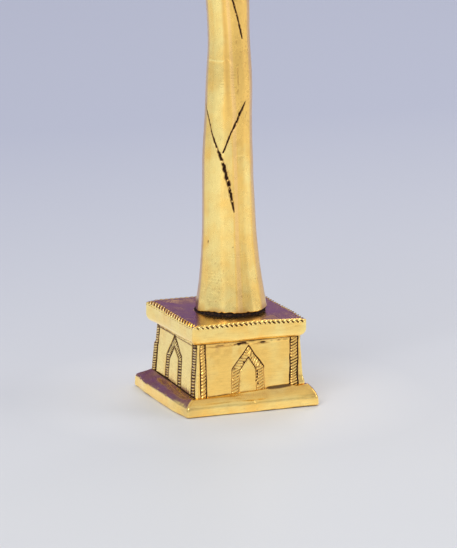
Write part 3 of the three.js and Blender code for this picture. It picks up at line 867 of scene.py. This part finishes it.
def cap_wear(columns, rows, cut, inward, below, outside):
    """The cap's rows, notched, rounded, sagging and dented."""
    x, y = rows[..., 0], rows[..., 1]
    left = columns.face == LEFT
    depth = np.where(left | (columns.face == REAR), 0.85, 0.68) * cut
    bevel = np.exp(-np.square(inward / 0.8) - np.square(below / 0.4)) * (inward < 2)
    soft = np.where(left, 0.4, 0.1) * bevel
    down = np.array([0.0, 0.0, -1.0])
    worn = handmade(rows)
    worn += depth[..., None] * (down - 0.7 * columns.out3)
    worn += soft[..., None] * (down - 0.3 * columns.out3)
    lower_edge = ramp(rows[..., 2], DIE_TOP + 3, DIE_TOP + 0.5) * outside
    worn[..., 2] += 0.14 * lower_edge * noise(rows, 5.0, 52)
    # The top sags a little at the front right corner, and the rear left corner stands out.
    worn[..., 2] -= 0.6 * (ramp(x, 4, 20) * ramp(y, -9, -19) * ramp(below, 3.5, 0.5))
    worn = columns.move_out(worn, 0.55 * corner_mask(rows, -20, 20, 6.0) * outside)
    worn[..., 2] += 0.45 * ramp(y, 3, 19) * ramp(below, 2.5, 0.5) * ramp(inward, 9, 2)
    worn[..., 2] -= 0.6 * corner_mask(rows, -20.2, 20.2, 2.4) * ramp(below, 2.0, 0.0)
    dents = ramp(noise(rows, 1.9, 54), 0.55, 0.9)
    worn = columns.move_out(worn, -(0.06 * dents * outside))
    pits = 0.05 * ramp(noise(rows, 1.1, 58), 0.55, 0.8) * ramp(inward, 2, 4)
    worn[..., 2] -= (below < 0.01) * pits
    return worn


def cap_plate():
    columns = SquareColumns(200, 7)
    rows = cap_rows(columns)
    inward = CAP_HALF - np.abs(rows[..., :2]).max(-1)
    below = CAP_TOP - rows[..., 2]
    outside = ramp(inward, NOTCH_BAND + 0.8, NOTCH_BAND) * (rows[..., 2] > DIE_TOP - 0.3)
    cut, band, residue = cap_notches(columns, rows, inward, below)
    worn = cap_wear(columns, rows, cut, inward, below, outside)
    on_top = below < 0.01
    within = on_top * (inward > NOTCH_BAND)
    from_stem = np.linalg.norm(rows[..., :2] - STEM_AXIS[:2], axis=-1) - SEAT_HIGH[0] + STEM_AXIS[0]
    under = seam_shadow(rows, rows[..., 2] - DIE_TOP, 0.3, 57)
    # Painted reflection: in front of the stem the top is darkened to the orange-brown of the stem mirrored
    # there, muting a glint.
    stem_mirror_patch = ramp(rows[..., 1], -10, -14) * ramp(np.abs(rows[..., 0] - STEM_AXIS[0]), 13, 10)
    cavity = darkest(
        residue,
        on_top * seam_shadow(rows, from_stem, 0.3, 55),
        under * ramp(noise(rows, 4.0, 59), -0.3, 0.4),
        0.2 * (within * ramp(noise(rows, 7.0, 27) - 0.03 * rows[..., 0], -0.1, 0.6)),
        0.48 * within * stem_mirror_patch,
    )
    # Painted reflection: the top is tinted more orange and the left face paler, for what each reflects.
    tone = np.where(on_top & (inward > 0.5), 0.7, columns.per_face(0.0, 0.0, 0.0, -0.4))
    # Painted highlight: the ridges between the notches are paler.
    tone = tone - 0.8 * (band * ramp(cut, 0.3, 0.0))
    piece = skin("cap_plate_brass", worn, closed=True, cavity=cavity, tone=tone)
    hand_in(piece, "plinth", "cap_plate")


# ---- ring shapes about an upright axis


def round_angles(count):
    return np.arange(count) / count * 2 * math.pi


def spokes(angles):
    return np.stack([np.cos(angles), np.sin(angles), 0 * angles], axis=-1)


def turned(profile, angles, centre):
    """Rows of a turned shape: profile is (radius, height) pairs, centre its axis."""
    rows = []
    for radius, z in profile:
        ring = [centre[0] + radius * np.cos(angles), centre[1] + radius * np.sin(angles)]
        rows.append(np.stack([*ring, np.full_like(angles, z)], axis=-1))
    return np.array(rows)


PINCH_BEARING = 160  # where the black ring is squeezed thinnest, beyond the left of the stem


def turn_from(start, bearing):
    """Degrees round the stem from a start to a bearing, from -180 to 180."""
    return (bearing - start + 180) % 360 - 180


def pinch(bearing):
    """The share of its height by which the black ring is squeezed. The stem's foot sinks with it."""
    return 0.75 * ramp(np.abs(turn_from(PINCH_BEARING, bearing)), 60, 15)


def seat_washer():
    angles = round_angles(420)
    outer = SEAT_HIGH[0] - STEM_AXIS[0]
    low, high = SEAT_LOW[2], SEAT_HIGH[2]
    levels = np.linspace(0, 1, 9)
    profile = [(outer - 0.3, low - 0.05)]
    profile += [(outer + 0.12 - 0.5 * t**2, low + 0.04 + (high - low - 0.04) * t) for t in levels]
    profile += [(8, high), (HOLE_RADIUS, high), (HOLE_RADIUS, low), (8, low)]
    rows = turned(profile, angles, STEM_AXIS)
    rim = (np.array([radius for radius, _ in profile]) > outer - 0.45)[:, None]
    lumps = 0.22 * noise(rows, 1.3, 60) + 0.12 * noise(rows, 0.6, 62) + 0.1 * noise(rows, 5, 61)
    rows = rows + (rim * lumps)[..., None] * spokes(angles)
    rows[..., 2] = low + (rows[..., 2] - low) * (1 - pinch(np.degrees(angles)))
    piece = skin("seat_washer_black", rows, closed=True)
    hand_in(piece, "black", "seat_washer")


def base_pad():
    columns = SquareColumns(60, 4)
    _, (half, _, top) = box_mm("base_pad")
    outline = [
        (half * 0.05, 0.2, 0.0, 3),
        (half - 0.4, 1.0, 0.0, 0.3),
        (half - 0.05, 1.0, 0.25, 0.4),
        (half, 1.0, top - 0.2, 0.3),
        (half - 0.3, 1.0, top, 6),
        (half * 0.05, 0.2, top, 3),
    ]
    stations = [(columns.square(reach, corner, z), gap) for reach, corner, z, gap in outline]
    rows = spread(stations, closed=False)
    fuzzy = columns.move_out(rows, 0.05 * noise(rows, 0.9, 70))
    fuzzy[..., 2] += 0.04 * ramp(rows[..., 2], 0.0, 0.3) * noise(rows, 1.2, 71)
    piece = skin("base_pad_felt", fuzzy)
    hand_in(piece, "felt", "base_pad")


# ---- stem

STEM_LOW, STEM_HIGH = box_mm("stem")
STEM_BOTTOM, STEM_TOP = STEM_LOW[2], STEM_HIGH[2]
BORE_TOP = box_mm("tie_stud")[1][2]
TANG_BOTTOM = box_mm("opener_head")[0][2]
PIN_LOW, PIN_HIGH = box_mm("head_pin")
PIN_AXIS = (PIN_LOW + PIN_HIGH) / 2

# Engraved lines on the stem, as (angle round it in degrees, height, half width) points. The first
# three are the branching mark on the front, the fourth is above it, and the rest echo them behind.
STEM_LINES = [
    [(173, 97.4, 0.2), (-172, 94.0, 0.3), (-152, 87.9, 0.32), (-136, 83.0, 0.42), (-131, 81.5, 0.5)],
    [(-131, 81.5, 0.5), (-122, 78.4, 0.62), (-111, 71.8, 0.62), (-106, 67.8, 0.5), (-101, 63.2, 0.2)],
    [(-69.5, 98.5, 0.26), (-84.8, 94.8, 0.44), (-92, 92.5, 0.42), (-105, 89.1, 0.3), (-124, 82.4, 0.26)],
    [(-108, 137.0, 0.24), (-98.9, 131.3, 0.34), (-87.3, 125.9, 0.38), (-73.6, 119.0, 0.26)],
    [(26, 104.0, 0.16), (50, 94.5, 0.28), (67, 84.0, 0.42), (78, 66.0, 0.2)],
    [(118, 101.0, 0.16), (96, 93.0, 0.28), (67, 84.0, 0.3)],
    [(98, 134.0, 0.18), (86, 127.0, 0.3), (76, 119.5, 0.2)],
]
# Casting pits: angle, height, radius.
STEM_PITS = [
    (-164, 53, 0.5), (-106, 51.8, 0.28), (-94, 36, 0.3), (-140, 34, 0.32), (-60, 41, 0.3), (150, 44, 0.4),
]
# Edges between the long filed flats, in degrees round the stem.
FLAT_EDGES = np.array([-180, -155, -126, -97, -74, -54, -28, -2, 24, 52, 80, 104, 131, 156])
# Painted reflection on each flat between those edges, as a tint from pale (negative) to orange.
FLAT_SHEEN_TONES = np.array([0.05, -0.3, 0.0, 0.3, 0.0, 0.6, 0.1, 0.3, -0.2, 0.2, 0.6, -0.1, 0.2, -0.1])
# The one edge that shows from foot to top, with a painted highlight along it, as (height, degrees round the
# stem).
RIDGE = [(30, -98), (75, -95), (96, -98.6), (104, -105), (128, -112), (139, -113)]
# Spacing of the stem's rows at each height, and of its columns at each bearing, finest where seen.
ROW_GAPS = [(30, 0.12), (33, 0.3), (58, 0.3), (63, 0.2), (98, 0.2), (104, 0.28), (139, 0.28)]
COLUMN_GAPS = [(-200, 1.5), (-180, 1.05), (-60, 1.05), (-40, 2.4), (0, 2.4), (40, 2.0), (160, 2.4)]
RADIAN = 57.3  # in degrees


def stem_course(heights):
    """Centre and radius of the CAD stem at each height, smoothed."""
    points = mesh_points(frame["nodes"]["stem"].data)
    levels, centres, radii = [], [], []
    for z in np.unique(points[:, 2].round(3)):
        ring = points[np.abs(points[:, 2] - z) < 0.01]
        low, high = ring.min(0), ring.max(0)
        if high[0] - low[0] > 12:
            levels.append(z)
            centres.append((low[0] + high[0]) / 2)
            radii.append((high[0] - low[0]) / 2)
    fine = np.arange(levels[0] - 12, levels[-1] + 12, 0.25)
    kernel = np.exp(-np.square(np.arange(-16, 17) / 7.0))
    kernel /= kernel.sum()
    smooth = []
    for values in (centres, radii):
        # The first level is the worn lower edge, so the course starts from the second.
        level = np.interp(fine, levels[1:], values[1:])
        level += (values[1] - values[2]) / (levels[2] - levels[1]) * np.clip(levels[1] - fine, 0, None)
        level -= (values[-2] - values[-1]) / (levels[-1] - levels[-2]) * np.clip(fine - levels[-1], 0, None)
        smooth.append(np.interp(heights, fine, np.convolve(level, kernel, "same")))
    return smooth


def uneven(low, high, spacings):
    """Positions from low to high whose spacing follows (position, spacing) pairs."""
    places, values = zip(*spacings)
    out = [low]
    while out[-1] < high:
        out.append(out[-1] + float(np.interp(out[-1], places, values)))
    out = np.array(out)
    return low + (out - low) * (high - low) / (out[-1] - low)


def flats(angle, z):
    """Depth of the long filed flats below the round, from 0 at their edges, and each flat's number."""
    edges = np.radians(FLAT_EDGES)
    turn = 2 * math.pi
    drift = 0.05 * np.sin(z / 23.0) + 0.03 * np.sin(z / 9.0 + 1.3)
    where = np.mod(angle + drift - edges[0], turn)
    edges = np.append(edges - edges[0], turn)
    number = np.clip(np.searchsorted(edges, where, side="right") - 1, 0, len(FLAT_EDGES) - 1)
    width = edges[number + 1] - edges[number]
    place = (where - edges[number]) / width
    bow = 0.45 * 4 * place * (1 - place) + 0.55 * np.square(np.sin(math.pi * place))
    return bow * (1 - np.cos(width / 2)), number, place


class StemGrid:
    """The stem's surface by height and bearing, with the flat that each point lies on."""

    def __init__(self):
        self.heights = uneven(STEM_BOTTOM, STEM_TOP, ROW_GAPS)
        self.angles = np.radians(uneven(-200, 160, COLUMN_GAPS)[:-1])
        centre_x, radius = stem_course(self.heights)
        self.z, self.angle = np.meshgrid(self.heights, self.angles, indexing="ij")
        self.up = self.z - STEM_BOTTOM
        self.bearing = np.degrees(self.angle)
        self.centre_x = centre_x[:, None]
        self.radius = radius[:, None] + 0 * self.angle
        self.spot = np.stack([9 * np.cos(self.angle), 9 * np.sin(self.angle), self.z], axis=-1)
        self.flat_depth, self.flat, self.flat_place = flats(self.angle, self.z)
        ridge_heights, ridge_bearings = zip(*RIDGE)
        self.from_ridge = self.bearing - np.interp(self.z, ridge_heights, ridge_bearings)
        # The upper of two filing steps: how far above it each point is, and how far round it runs.
        step_height = 111.6 + 0.9 * np.exp(-np.square((self.bearing + 120) / 5.0))
        self.above_step = self.z - step_height
        self.on_step = ramp(self.bearing, -104, -112) * ramp(self.bearing, -185, -176)

    def distance(self, bearing, height):
        """Distance over the surface from a point on it."""
        swept = np.radians(turn_from(bearing, self.bearing))
        return np.hypot(swept * self.radius, self.z - height)


def filed_surface(grid):
    """How far the filed surface lies outside the round one."""
    z, bearing, spot = grid.z, grid.bearing, grid.spot
    strength = 0.5 + 0.35 * noise(np.stack([3.0 * grid.flat, 0 * z, z], axis=-1), 22.0, 80)
    cut = grid.radius * grid.flat_depth * strength
    # Where two filing strokes met, each left a low step across a few flats.
    cut += 0.09 * grid.on_step * (grid.above_step < 0) * np.exp(grid.above_step / 7.0)
    on_second = ramp(bearing, -95, -91) * ramp(bearing, -58, -63)
    cut += 0.13 * on_second * (z < 81.4) * np.exp((z - 81.4) / 5.0)
    ripples = np.sin(z * 2 * math.pi / 0.95 + 2 * noise(spot, 5.0, 81))
    cut += 0.013 * ripples * ramp(noise(spot, 9.0, 82), 0.1, 0.5)
    surface = -cut + 0.06 * noise(spot, 6.0, 83) + 0.022 * noise(spot, 1.8, 84)
    return surface + 0.05 * np.exp(-np.square(np.abs(grid.from_ridge) / 5.5))


def engraved_stroke(grid, start, end):
    """Height, burr and cavity of one straight stroke of an engraved line."""
    (bearing0, z0, half0), (bearing1, z1, half1) = start, end
    spot = grid.spot
    radius = np.interp((z0 + z1) / 2, grid.heights, grid.radius[:, 0])
    swept = np.radians(turn_from(bearing0, grid.bearing))
    flat = np.stack([swept * grid.radius, grid.z + 0.10 * noise(spot, 2.0, 85)], axis=-1)
    run = math.radians(turn_from(bearing0, bearing1)) * radius
    away, along = segment_distance(flat, (0, z0), (run, z1))
    half = half0 + (half1 - half0) * (along / math.hypot(run, z1 - z0))
    half = half * (1 + 0.3 * noise(spot, 1.6, 86) + 0.35 * noise(spot, 0.7, 74))
    bridge = ramp(noise(spot, 0.75, 87), 0.12, 0.4) * (half > 0.42)
    height = -1.1 * half * ramp(away, half, 0.0) * (1 - 0.8 * bridge)
    burr = 0.03 * np.exp(-np.square((away - half - 0.15) / 0.16))
    return height, burr, ramp(away, half * 1.5, half * 0.5) * (1 - 0.6 * bridge)


# Each of these gives how deep a flaw or worn part of the stem is, and how dark.


def casting_pits(grid):
    depth, dark = np.zeros_like(grid.z), np.zeros_like(grid.z)
    for bearing, height, size in STEM_PITS:
        away = grid.distance(bearing, height)
        depth += 0.7 * size * ramp(away, size, 0)
        dark = darkest(dark, 0.8 * ramp(away, size, size * 0.3))
    return depth, dark


def scriber_scratch(grid):
    """A light dotted line up the front."""
    across = (grid.bearing + 90) / RADIAN * grid.radius
    away = np.hypot(across, np.clip(np.abs(grid.z - 106.0) - 3.6, 0, None))
    scratch = ramp(away, 0.32, 0.1) * ramp(noise(grid.spot, 0.7, 88), -0.1, 0.3)
    return 0.08 * scratch, 0.5 * scratch


def fine_pitting(grid):
    """Right of the long ridge in the upper half, and near the foot on the left."""
    z, bearing = grid.z, grid.bearing
    upper = ramp(z, 84, 94) * ramp(z, 130, 122) * ramp(bearing, -102, -92) * ramp(bearing, -35, -55)
    lower = ramp(z, 54, 44) * ramp(bearing, -172, -158) * ramp(bearing, -112, -128)
    pitted = ramp(noise(grid.spot, 0.5, 92), 0.35, 0.6) * (upper + 0.6 * lower)
    return 0.05 * pitted, 0.3 * pitted


def ragged_edge(grid):
    """The rounded lower edge where the stem meets the black ring."""
    ragged = 0.5 * (1 + 0.9 * noise(grid.spot, 1.7, 89) + 0.7 * noise(grid.spot, 0.7, 90))
    ragged = np.maximum(ragged, 0.08)
    ragged = ragged * (1 - 0.5 * ramp(np.abs(turn_from(PINCH_BEARING, grid.bearing)), 60, 30))
    return 0.5 * np.square(ramp(grid.up, ragged, 0)), ramp(grid.up, ragged, 0.4 * ragged)


def lumpy_foot(grid):
    depth = -0.10 * ramp(grid.up, 4.0, 1.0) * noise(grid.spot, 2.2, 91)
    return depth, 0.42 * ramp(grid.up, 2.6, 0.6) * ramp(noise(grid.spot, 2.0, 94), -0.4, 0.2)


def pin_ring(grid):
    """A shallow dished ring round the peened ends of the cross pin."""
    x = grid.centre_x + grid.radius * np.cos(grid.angle)
    from_pin = np.hypot(x - PIN_AXIS[0], grid.z - PIN_AXIS[2])
    ring = ramp(np.abs(from_pin - 1.35), 0.3, 0.0)
    return 0.14 * ring + 0.10 * ramp(from_pin, 2.4, 1.2), 0.6 * ring


def stem_painted_shade(grid):
    """Painted shade: the fine dark line under the peak of the upper filing step, and darker bands beside
    the ridge. Painted reflection browns the left side.
    """
    z, bearing = grid.z, grid.bearing
    crease = ramp(np.abs(grid.above_step + 0.15), 0.25, 0.05) * ramp(np.abs(bearing + 118), 7, 4)
    # Painted shade: beside the ridge the upper half is darker in a band, and a little darker further round.
    beside = grid.from_ridge + 13
    # Painted reflection: the left side is browner in its lower half, for the blue backdrop it reflects.
    left_reflection = ramp(np.abs(turn_from(155, bearing)), 34, 14)
    return darkest(
        0.45 * crease,
        0.26 * ramp(z, 88, 108) * np.exp(-np.square(beside / 6.0)),
        0.07 * ramp(z, 70, 100) * ramp(beside, 20, 30),
        0.3 * left_reflection * ramp(z, 115, 70),
    )


def stem_tone(grid):
    """Painted reflections and highlights in the metal's colour: a tint for each flat, a peach painted
    highlight on the ridge, a pale one on the step.
    """
    own = FLAT_SHEEN_TONES[grid.flat]
    following = FLAT_SHEEN_TONES[(grid.flat + 1) % len(FLAT_SHEEN_TONES)]
    tone = own + (following - own) * ramp(grid.flat_place, 0.8, 1.0)
    # Painted shade: the upper half is more orange from just left of the ridge round the right side to the
    # back.
    tone += 0.9 * ramp(grid.z, 72, 100) * ramp(grid.bearing, -134, -118) - 0.1
    tone = tone - ramp(np.abs(grid.above_step - 0.15), 0.3, 0.05) * grid.on_step
    off_ridge = np.abs(grid.from_ridge)
    return np.where(off_ridge < 10, tone + (1.6 - tone) * ramp(off_ridge, 8.0, 3.0), tone)


def stem():
    grid = StemGrid()
    surface = filed_surface(grid)
    cavity = stem_painted_shade(grid)
    for line in STEM_LINES:
        for start, end in zip(line, line[1:]):
            height, burr, dark = engraved_stroke(grid, start, end)
            surface = surface + height + burr
            cavity = darkest(cavity, dark)
    for flaw in (casting_pits, scriber_scratch, fine_pitting, ragged_edge, lumpy_foot, pin_ring):
        depth, dark = flaw(grid)
        surface -= depth
        cavity = darkest(cavity, dark)
    reach = grid.radius + surface
    x = grid.centre_x + reach * np.cos(grid.angle)
    y = STEM_AXIS[1] + reach * np.sin(grid.angle)
    z = grid.z - pinch(grid.bearing) * ramp(grid.up, 4.0, 0.0)
    # A blind bore closes the skin at each end, for the stud and for the head's tang.
    stud_bore = [(HOLE_RADIUS, BORE_TOP), (HOLE_RADIUS, STEM_BOTTOM)]
    tang_bore = [(HOLE_RADIUS, STEM_TOP), (HOLE_RADIUS, TANG_BOTTOM)]
    rows = np.concatenate([
        turned(stud_bore, grid.angles, STEM_AXIS),
        np.stack([x, y, z], axis=-1),
        turned(tang_bore, grid.angles, (PIN_AXIS[0], STEM_AXIS[1])),
    ])
    in_bores = ((2, 2), (0, 0))
    cavity, tone = np.pad(cavity, in_bores), np.pad(stem_tone(grid), in_bores)
    piece = skin("stem_brass", rows, cavity=cavity, tone=tone)
    hand_in(piece, "stem", "stem")


# ---- collar, head and pin

COLLAR_LOW, COLLAR_HIGH = box_mm("neck_collar")
HEAD_AXIS = (COLLAR_LOW + COLLAR_HIGH) / 2
HEAD_LOW, HEAD_HIGH = box_mm("opener_head")
HEAD_BASE = COLLAR_HIGH[2]
LOOP_HALF = (HEAD_HIGH[0] - HEAD_LOW[0]) / 2
LOOP_APEX = HEAD_HIGH[2] - HEAD_BASE
LOOP_SHOULDER = 25.5
NECK_HALF = 5.8
STRANDS = 30


def neck_collar():
    angles = round_angles(600)
    low, high = COLLAR_LOW[2], COLLAR_HIGH[2]
    outer = COLLAR_HIGH[0] - HEAD_AXIS[0]
    edge = outer - 1.4
    middle = (low + high) / 2
    bend = np.linspace(0, math.pi, 31)
    profile = [(HOLE_RADIUS, low), (edge - 1, low)]
    profile += [(edge + 1.4 * math.sin(t), middle - (high - low) / 2 * math.cos(t)) for t in bend]
    profile += [(edge - 1, high), (HOLE_RADIUS, high)]
    rows = turned(profile, angles, HEAD_AXIS)
    up = (rows[..., 2] - middle) / (high - low) * 2
    bulge = ramp(np.linalg.norm(rows[..., :2] - HEAD_AXIS[:2], axis=-1), edge - 0.2, edge + 0.5)
    phase = angles * STRANDS / 2 + 1.15 * up + 0.25 * noise(rows, 4.0, 95)
    strand = np.abs(np.sin(phase))
    height = bulge * (0.55 * strand**0.65 - 0.5) + 0.05 * noise(rows, 1.4, 96)
    rows = rows + height[..., None] * spokes(angles)
    cavity = bulge * ramp(strand, 0.42, 0.08) * (0.85 + 0.4 * noise(rows, 1.6, 97))
    cavity = darkest(cavity, ramp(np.abs(up), 0.92, 1.0) * 0.7)
    piece = skin("neck_collar_brass", rows, closed=True, cavity=cavity, tone=0 * cavity + 0.2)
    hand_in(piece, "stem", "neck_collar")


def bezier(points, steps):
    """Points along a Bezier curve of any degree."""
    t = np.linspace(0, 1, steps + 1)[:, None]
    points = [np.array(p, float) + 0 * t for p in points]
    while len(points) > 1:
        points = [a + (b - a) * t for a, b in zip(points, points[1:])]
    return points[0]


def loop_edge():
    """The loop's outline as x and height points, from the neck up the right side to the apex."""
    swell = 2 * 1.2 / math.hypot(LOOP_HALF, LOOP_APEX - LOOP_SHOULDER)
    control = (
        LOOP_HALF / 2 + swell * (LOOP_APEX - LOOP_SHOULDER),
        (LOOP_SHOULDER + LOOP_APEX) / 2 + swell * LOOP_HALF,
    )
    lower = bezier([(NECK_HALF, 3), (NECK_HALF + 1, 9), (LOOP_HALF, 8), (LOOP_HALF, 18)], 40)
    slope = bezier([(LOOP_HALF, LOOP_SHOULDER), control, (0, LOOP_APEX)], 30)
    return np.vstack([lower, slope])


def edge_distance(points, path):
    """Nearest distance of 2-D points from a path, and how far along the path that is."""
    best = np.full(len(points), 1e9)
    place = np.zeros(len(points))
    walked = 0.0
    for start, end in zip(path, path[1:]):
        away, along = segment_distance(points, start, end)
        closer = away < best
        best[closer] = away[closer]
        place[closer] = walked + along[closer]
        walked += float(np.linalg.norm(np.array(end) - np.array(start)))
    return best, place


def remeshed_head():
    """The CAD head, remeshed finely so that its edges round off."""
    piece = linked("opener_head_brass", frame["nodes"]["opener_head"].data.copy())
    remesh = piece.modifiers.new("remesh", "REMESH")
    remesh.mode = "VOXEL"
    remesh.voxel_size = 0.22 * MM
    smooth = piece.modifiers.new("smooth", "SMOOTH")
    smooth.factor = 0.5
    smooth.iterations = 8
    evaluated = piece.evaluated_get(bpy.context.evaluated_depsgraph_get())
    mesh = bpy.data.meshes.new_from_object(evaluated)
    piece.modifiers.clear()
    piece.data = mesh
    return piece


def opener_head():
    """The head, with a rope border engraved round both faces of its loop."""
    piece = remeshed_head()
    mesh = piece.data
    points = mesh_points(mesh)
    normals = np.zeros(points.size, np.float32)
    mesh.vertex_normals.foreach_get("vector", normals)
    normals = normals.reshape(-1, 3).astype(float)

    up = points[:, 2] - HEAD_BASE
    flat = np.stack([np.abs(points[:, 0] - HEAD_AXIS[0]), up], axis=-1)
    flat = flat + 0.12 * np.stack([noise(points, 4.0, 100), noise(points, 4.0, 101)], axis=-1)
    away, along = edge_distance(flat, loop_edge())
    on_face = ramp(np.abs(normals[:, 1]), 0.75, 0.95) * ramp(up, 6.5, 9.5)
    lines = np.minimum(np.abs(away - 1.0), np.abs(away - 3.1))
    height = -0.36 * on_face * ramp(lines, 0.42, 0)
    line_cavity = on_face * ramp(lines, 0.4, 0.08) * (0.8 + 0.5 * noise(points, 1.6, 102))
    place = (away - 2.05) / 1.05
    in_band = on_face * ramp(np.abs(place), 1.0, 0.7)
    side = np.sign(points[:, 0] - HEAD_AXIS[0])
    strands, in_strands = rope(along + 0.12 * noise(points, 1.8, 103), np.clip(side * place, -1, 1))
    height += in_band * strands
    in_strands = in_band * in_strands * (0.65 + 0.4 * noise(points, 1.2, 104))
    height += 0.05 * noise(points, 5.0, 105) + 0.02 * noise(points, 1.6, 106)
    at_collar = 0.8 * ramp(up, 0.6, 0.0)
    points = points + height[:, None] * normals
    mesh.vertices.foreach_set("co", (points * MM).astype(np.float32).ravel())
    mesh.polygons.foreach_set("use_smooth", np.ones(len(mesh.polygons), bool))
    set_mark(mesh, "cavity", darkest(line_cavity, in_strands, at_collar))
    set_mark(mesh, "tone", 0.15 * noise(points, 12.0, 107))
    mesh.update()
    hand_in(piece, "stem", "opener_head")


def head_pin():
    """The cross pin, with each end peened to a low dome that follows the stem."""
    radius = (PIN_HIGH[0] - PIN_LOW[0]) / 2
    half = (PIN_HIGH[1] - PIN_LOW[1]) / 2
    profile = [(0.35, -half - 0.12), (0.8, -half - 0.06), (1.12, -half + 0.05), (radius, -half + 0.3)]
    profile += [(radius, y) for y in np.linspace(-half + 1, half - 1, 5)]
    profile += [(r, -y) for r, y in reversed(profile[:4])]
    upright = turned(profile, round_angles(48), (0, 0))
    rows = PIN_AXIS + upright[..., [0, 2, 1]] * (1, 1, -1)
    rows = rows + 0.03 * noise(rows, 0.8, 110)[..., None]
    clean = np.zeros(rows.shape[:2])
    piece = skin("head_pin_brass", rows, cavity=clean, tone=clean + 1)
    hand_in(piece, "stem", "head_pin")


# ---- build

foot_plate()
plinth_body()
cap_plate()
seat_washer()
base_pad()
stem()
neck_collar()
opener_head()
head_pin()

for name in ("tie_stud", "stud_washer", "stud_nut"):
    set_material(frame["nodes"][name], "steel")

# ---- camera, floor and light

CAMERA_AZIMUTH = -23.07
CAMERA_ELEVATION = 12.56
CAMERA_ROLL = 0.47
CAMERA_DISTANCE = 976.2
CAMERA_LENS = 197.08
AIM_SIDE = 0.64
AIM_HEIGHT = 40.86


def place_camera():
    a, e, roll = (math.radians(d) for d in (CAMERA_AZIMUTH, CAMERA_ELEVATION, CAMERA_ROLL))
    back = Vector((math.sin(a) * math.cos(e), -math.cos(a) * math.cos(e), math.sin(e)))
    side = Vector((math.cos(a), math.sin(a), 0))
    up = back.cross(side)
    aim = side * AIM_SIDE + Vector((0, 0, AIM_HEIGHT))
    turned_side = math.cos(roll) * side + math.sin(roll) * up
    turned_up = -math.sin(roll) * side + math.cos(roll) * up
    data = bpy.data.cameras.new("camera")
    data.lens = CAMERA_LENS
    data.sensor_width = 36
    pose = Matrix((turned_side, turned_up, back)).transposed().to_4x4()
    pose.translation = (aim + back * CAMERA_DISTANCE) * MM
    camera = linked("camera", data)
    camera.matrix_world = pose
    bpy.context.scene.camera = camera


# The floor is a pale grey to the camera, and a little brighter in the metal's reflections.
FLOOR_HALF = 6.0
FLOOR_NEAR = (0.63, 0.645, 0.66)
FLOOR_FAR = (0.46, 0.49, 0.59)
FLOOR_GLOW = (1.0, 1.0, 0.98)
FLOOR_LIT = (0.83, 0.83, 0.82)
FLOOR_LIT_GLOW = (1.0, 0.98, 0.94)


def floor():
    mesh = bpy.data.meshes.new("floor")
    corners = [(x * FLOOR_HALF, y * FLOOR_HALF, 0) for x, y in ((-1, -1), (1, -1), (1, 1), (-1, 1))]
    mesh.from_pydata(corners, [], [(0, 1, 2, 3)])
    plane = linked("floor", mesh)
    paint = new_paint("floor")
    depth = paint.add("ShaderNodeSeparateXYZ", Vector=paint.place).outputs["Y"]
    # Painted shade: to the camera the floor is darker and bluer further back.
    seen = paint.mix(paint.range(depth, -0.1, 0.5), FLOOR_NEAR, FLOOR_FAR)
    # Painted light: close round the foot it is whiter, standing in for light thrown off the brass and
    # lifting the contact shadow, both to the camera and in the metal's reflections.
    away = paint.add("ShaderNodeVectorMath", {"operation": "LENGTH"}, Vector=paint.place).outputs["Value"]
    near = paint.range(away, 0.07, 0.025)
    seen = paint.mix(paint.math("MULTIPLY", near, 0.25), seen, FLOOR_GLOW)
    lit = paint.mix(near, FLOOR_LIT, FLOOR_LIT_GLOW)
    camera_ray = paint.add("ShaderNodeLightPath").outputs["Is Camera Ray"]
    plane.data.materials.append(paint.finish(Base_Color=paint.mix(camera_ray, lit, seen), Roughness=0.6))


SKY_LOW = (0.62, 0.63, 0.66)
SKY_HIGH = (0.95, 0.95, 0.97)
SKY_STRENGTH = 0.84
CLOTH_BLUE = (0.19, 0.11, 0.50)
CLOTH_BEARING = (0.38, 0.92, 0)  # straight behind the object, seen from the camera


def world():
    """A pale studio, with the blue cloth behind the object in reflections only."""
    studio = bpy.data.worlds.new("studio")
    bpy.context.scene.world = studio
    paint = Paint(studio, "Generated")
    height = paint.add("ShaderNodeSeparateXYZ", Vector=paint.place).outputs["Z"]
    sky = paint.mix(paint.range(height, -0.1, 0.9, kind="SMOOTHSTEP"), SKY_LOW, SKY_HIGH)
    bearing = paint.add("ShaderNodeVectorMath", {"operation": "DOT_PRODUCT"}, Vector=paint.place)
    bearing.inputs[1].default_value = CLOTH_BEARING
    around = paint.range(bearing.outputs["Value"], 0.45, 0.6, kind="SMOOTHSTEP")
    behind = paint.math("MULTIPLY", around, paint.range(height, 0.78, 0.6, kind="SMOOTHSTEP"))
    glossy = paint.add("ShaderNodeLightPath").outputs["Is Glossy Ray"]
    colour = paint.mix(paint.math("MULTIPLY", behind, glossy), sky, CLOTH_BLUE)
    background = paint.add("ShaderNodeBackground", Color=colour, Strength=SKY_STRENGTH)
    paint.add("ShaderNodeOutputWorld", Surface=background.outputs[0])


def soft_light(name, place, size, power, color=(1, 1, 1)):
    data = bpy.data.lights.new(name, "AREA")
    data.shape = "RECTANGLE"
    data.size, data.size_y = size
    data.energy = power
    data.color = color
    lamp = linked(name, data)
    lamp.location = place
    aim = Vector((0, 0, 0.06)) - Vector(place)
    lamp.rotation_euler = aim.to_track_quat("-Z", "Y").to_euler()


place_camera()
floor()
world()
soft_light("key", (-1.1, -1.0, 1.0), (0.9, 0.9), 13)
soft_light("fill", (1.3, -0.5, 0.7), (0.7, 0.9), 4.5, (1.0, 0.94, 0.86))
soft_light("back", (0.9, 1.1, 1.3), (0.9, 0.6), 5)
bpy.context.scene.view_settings.view_transform = "Standard"
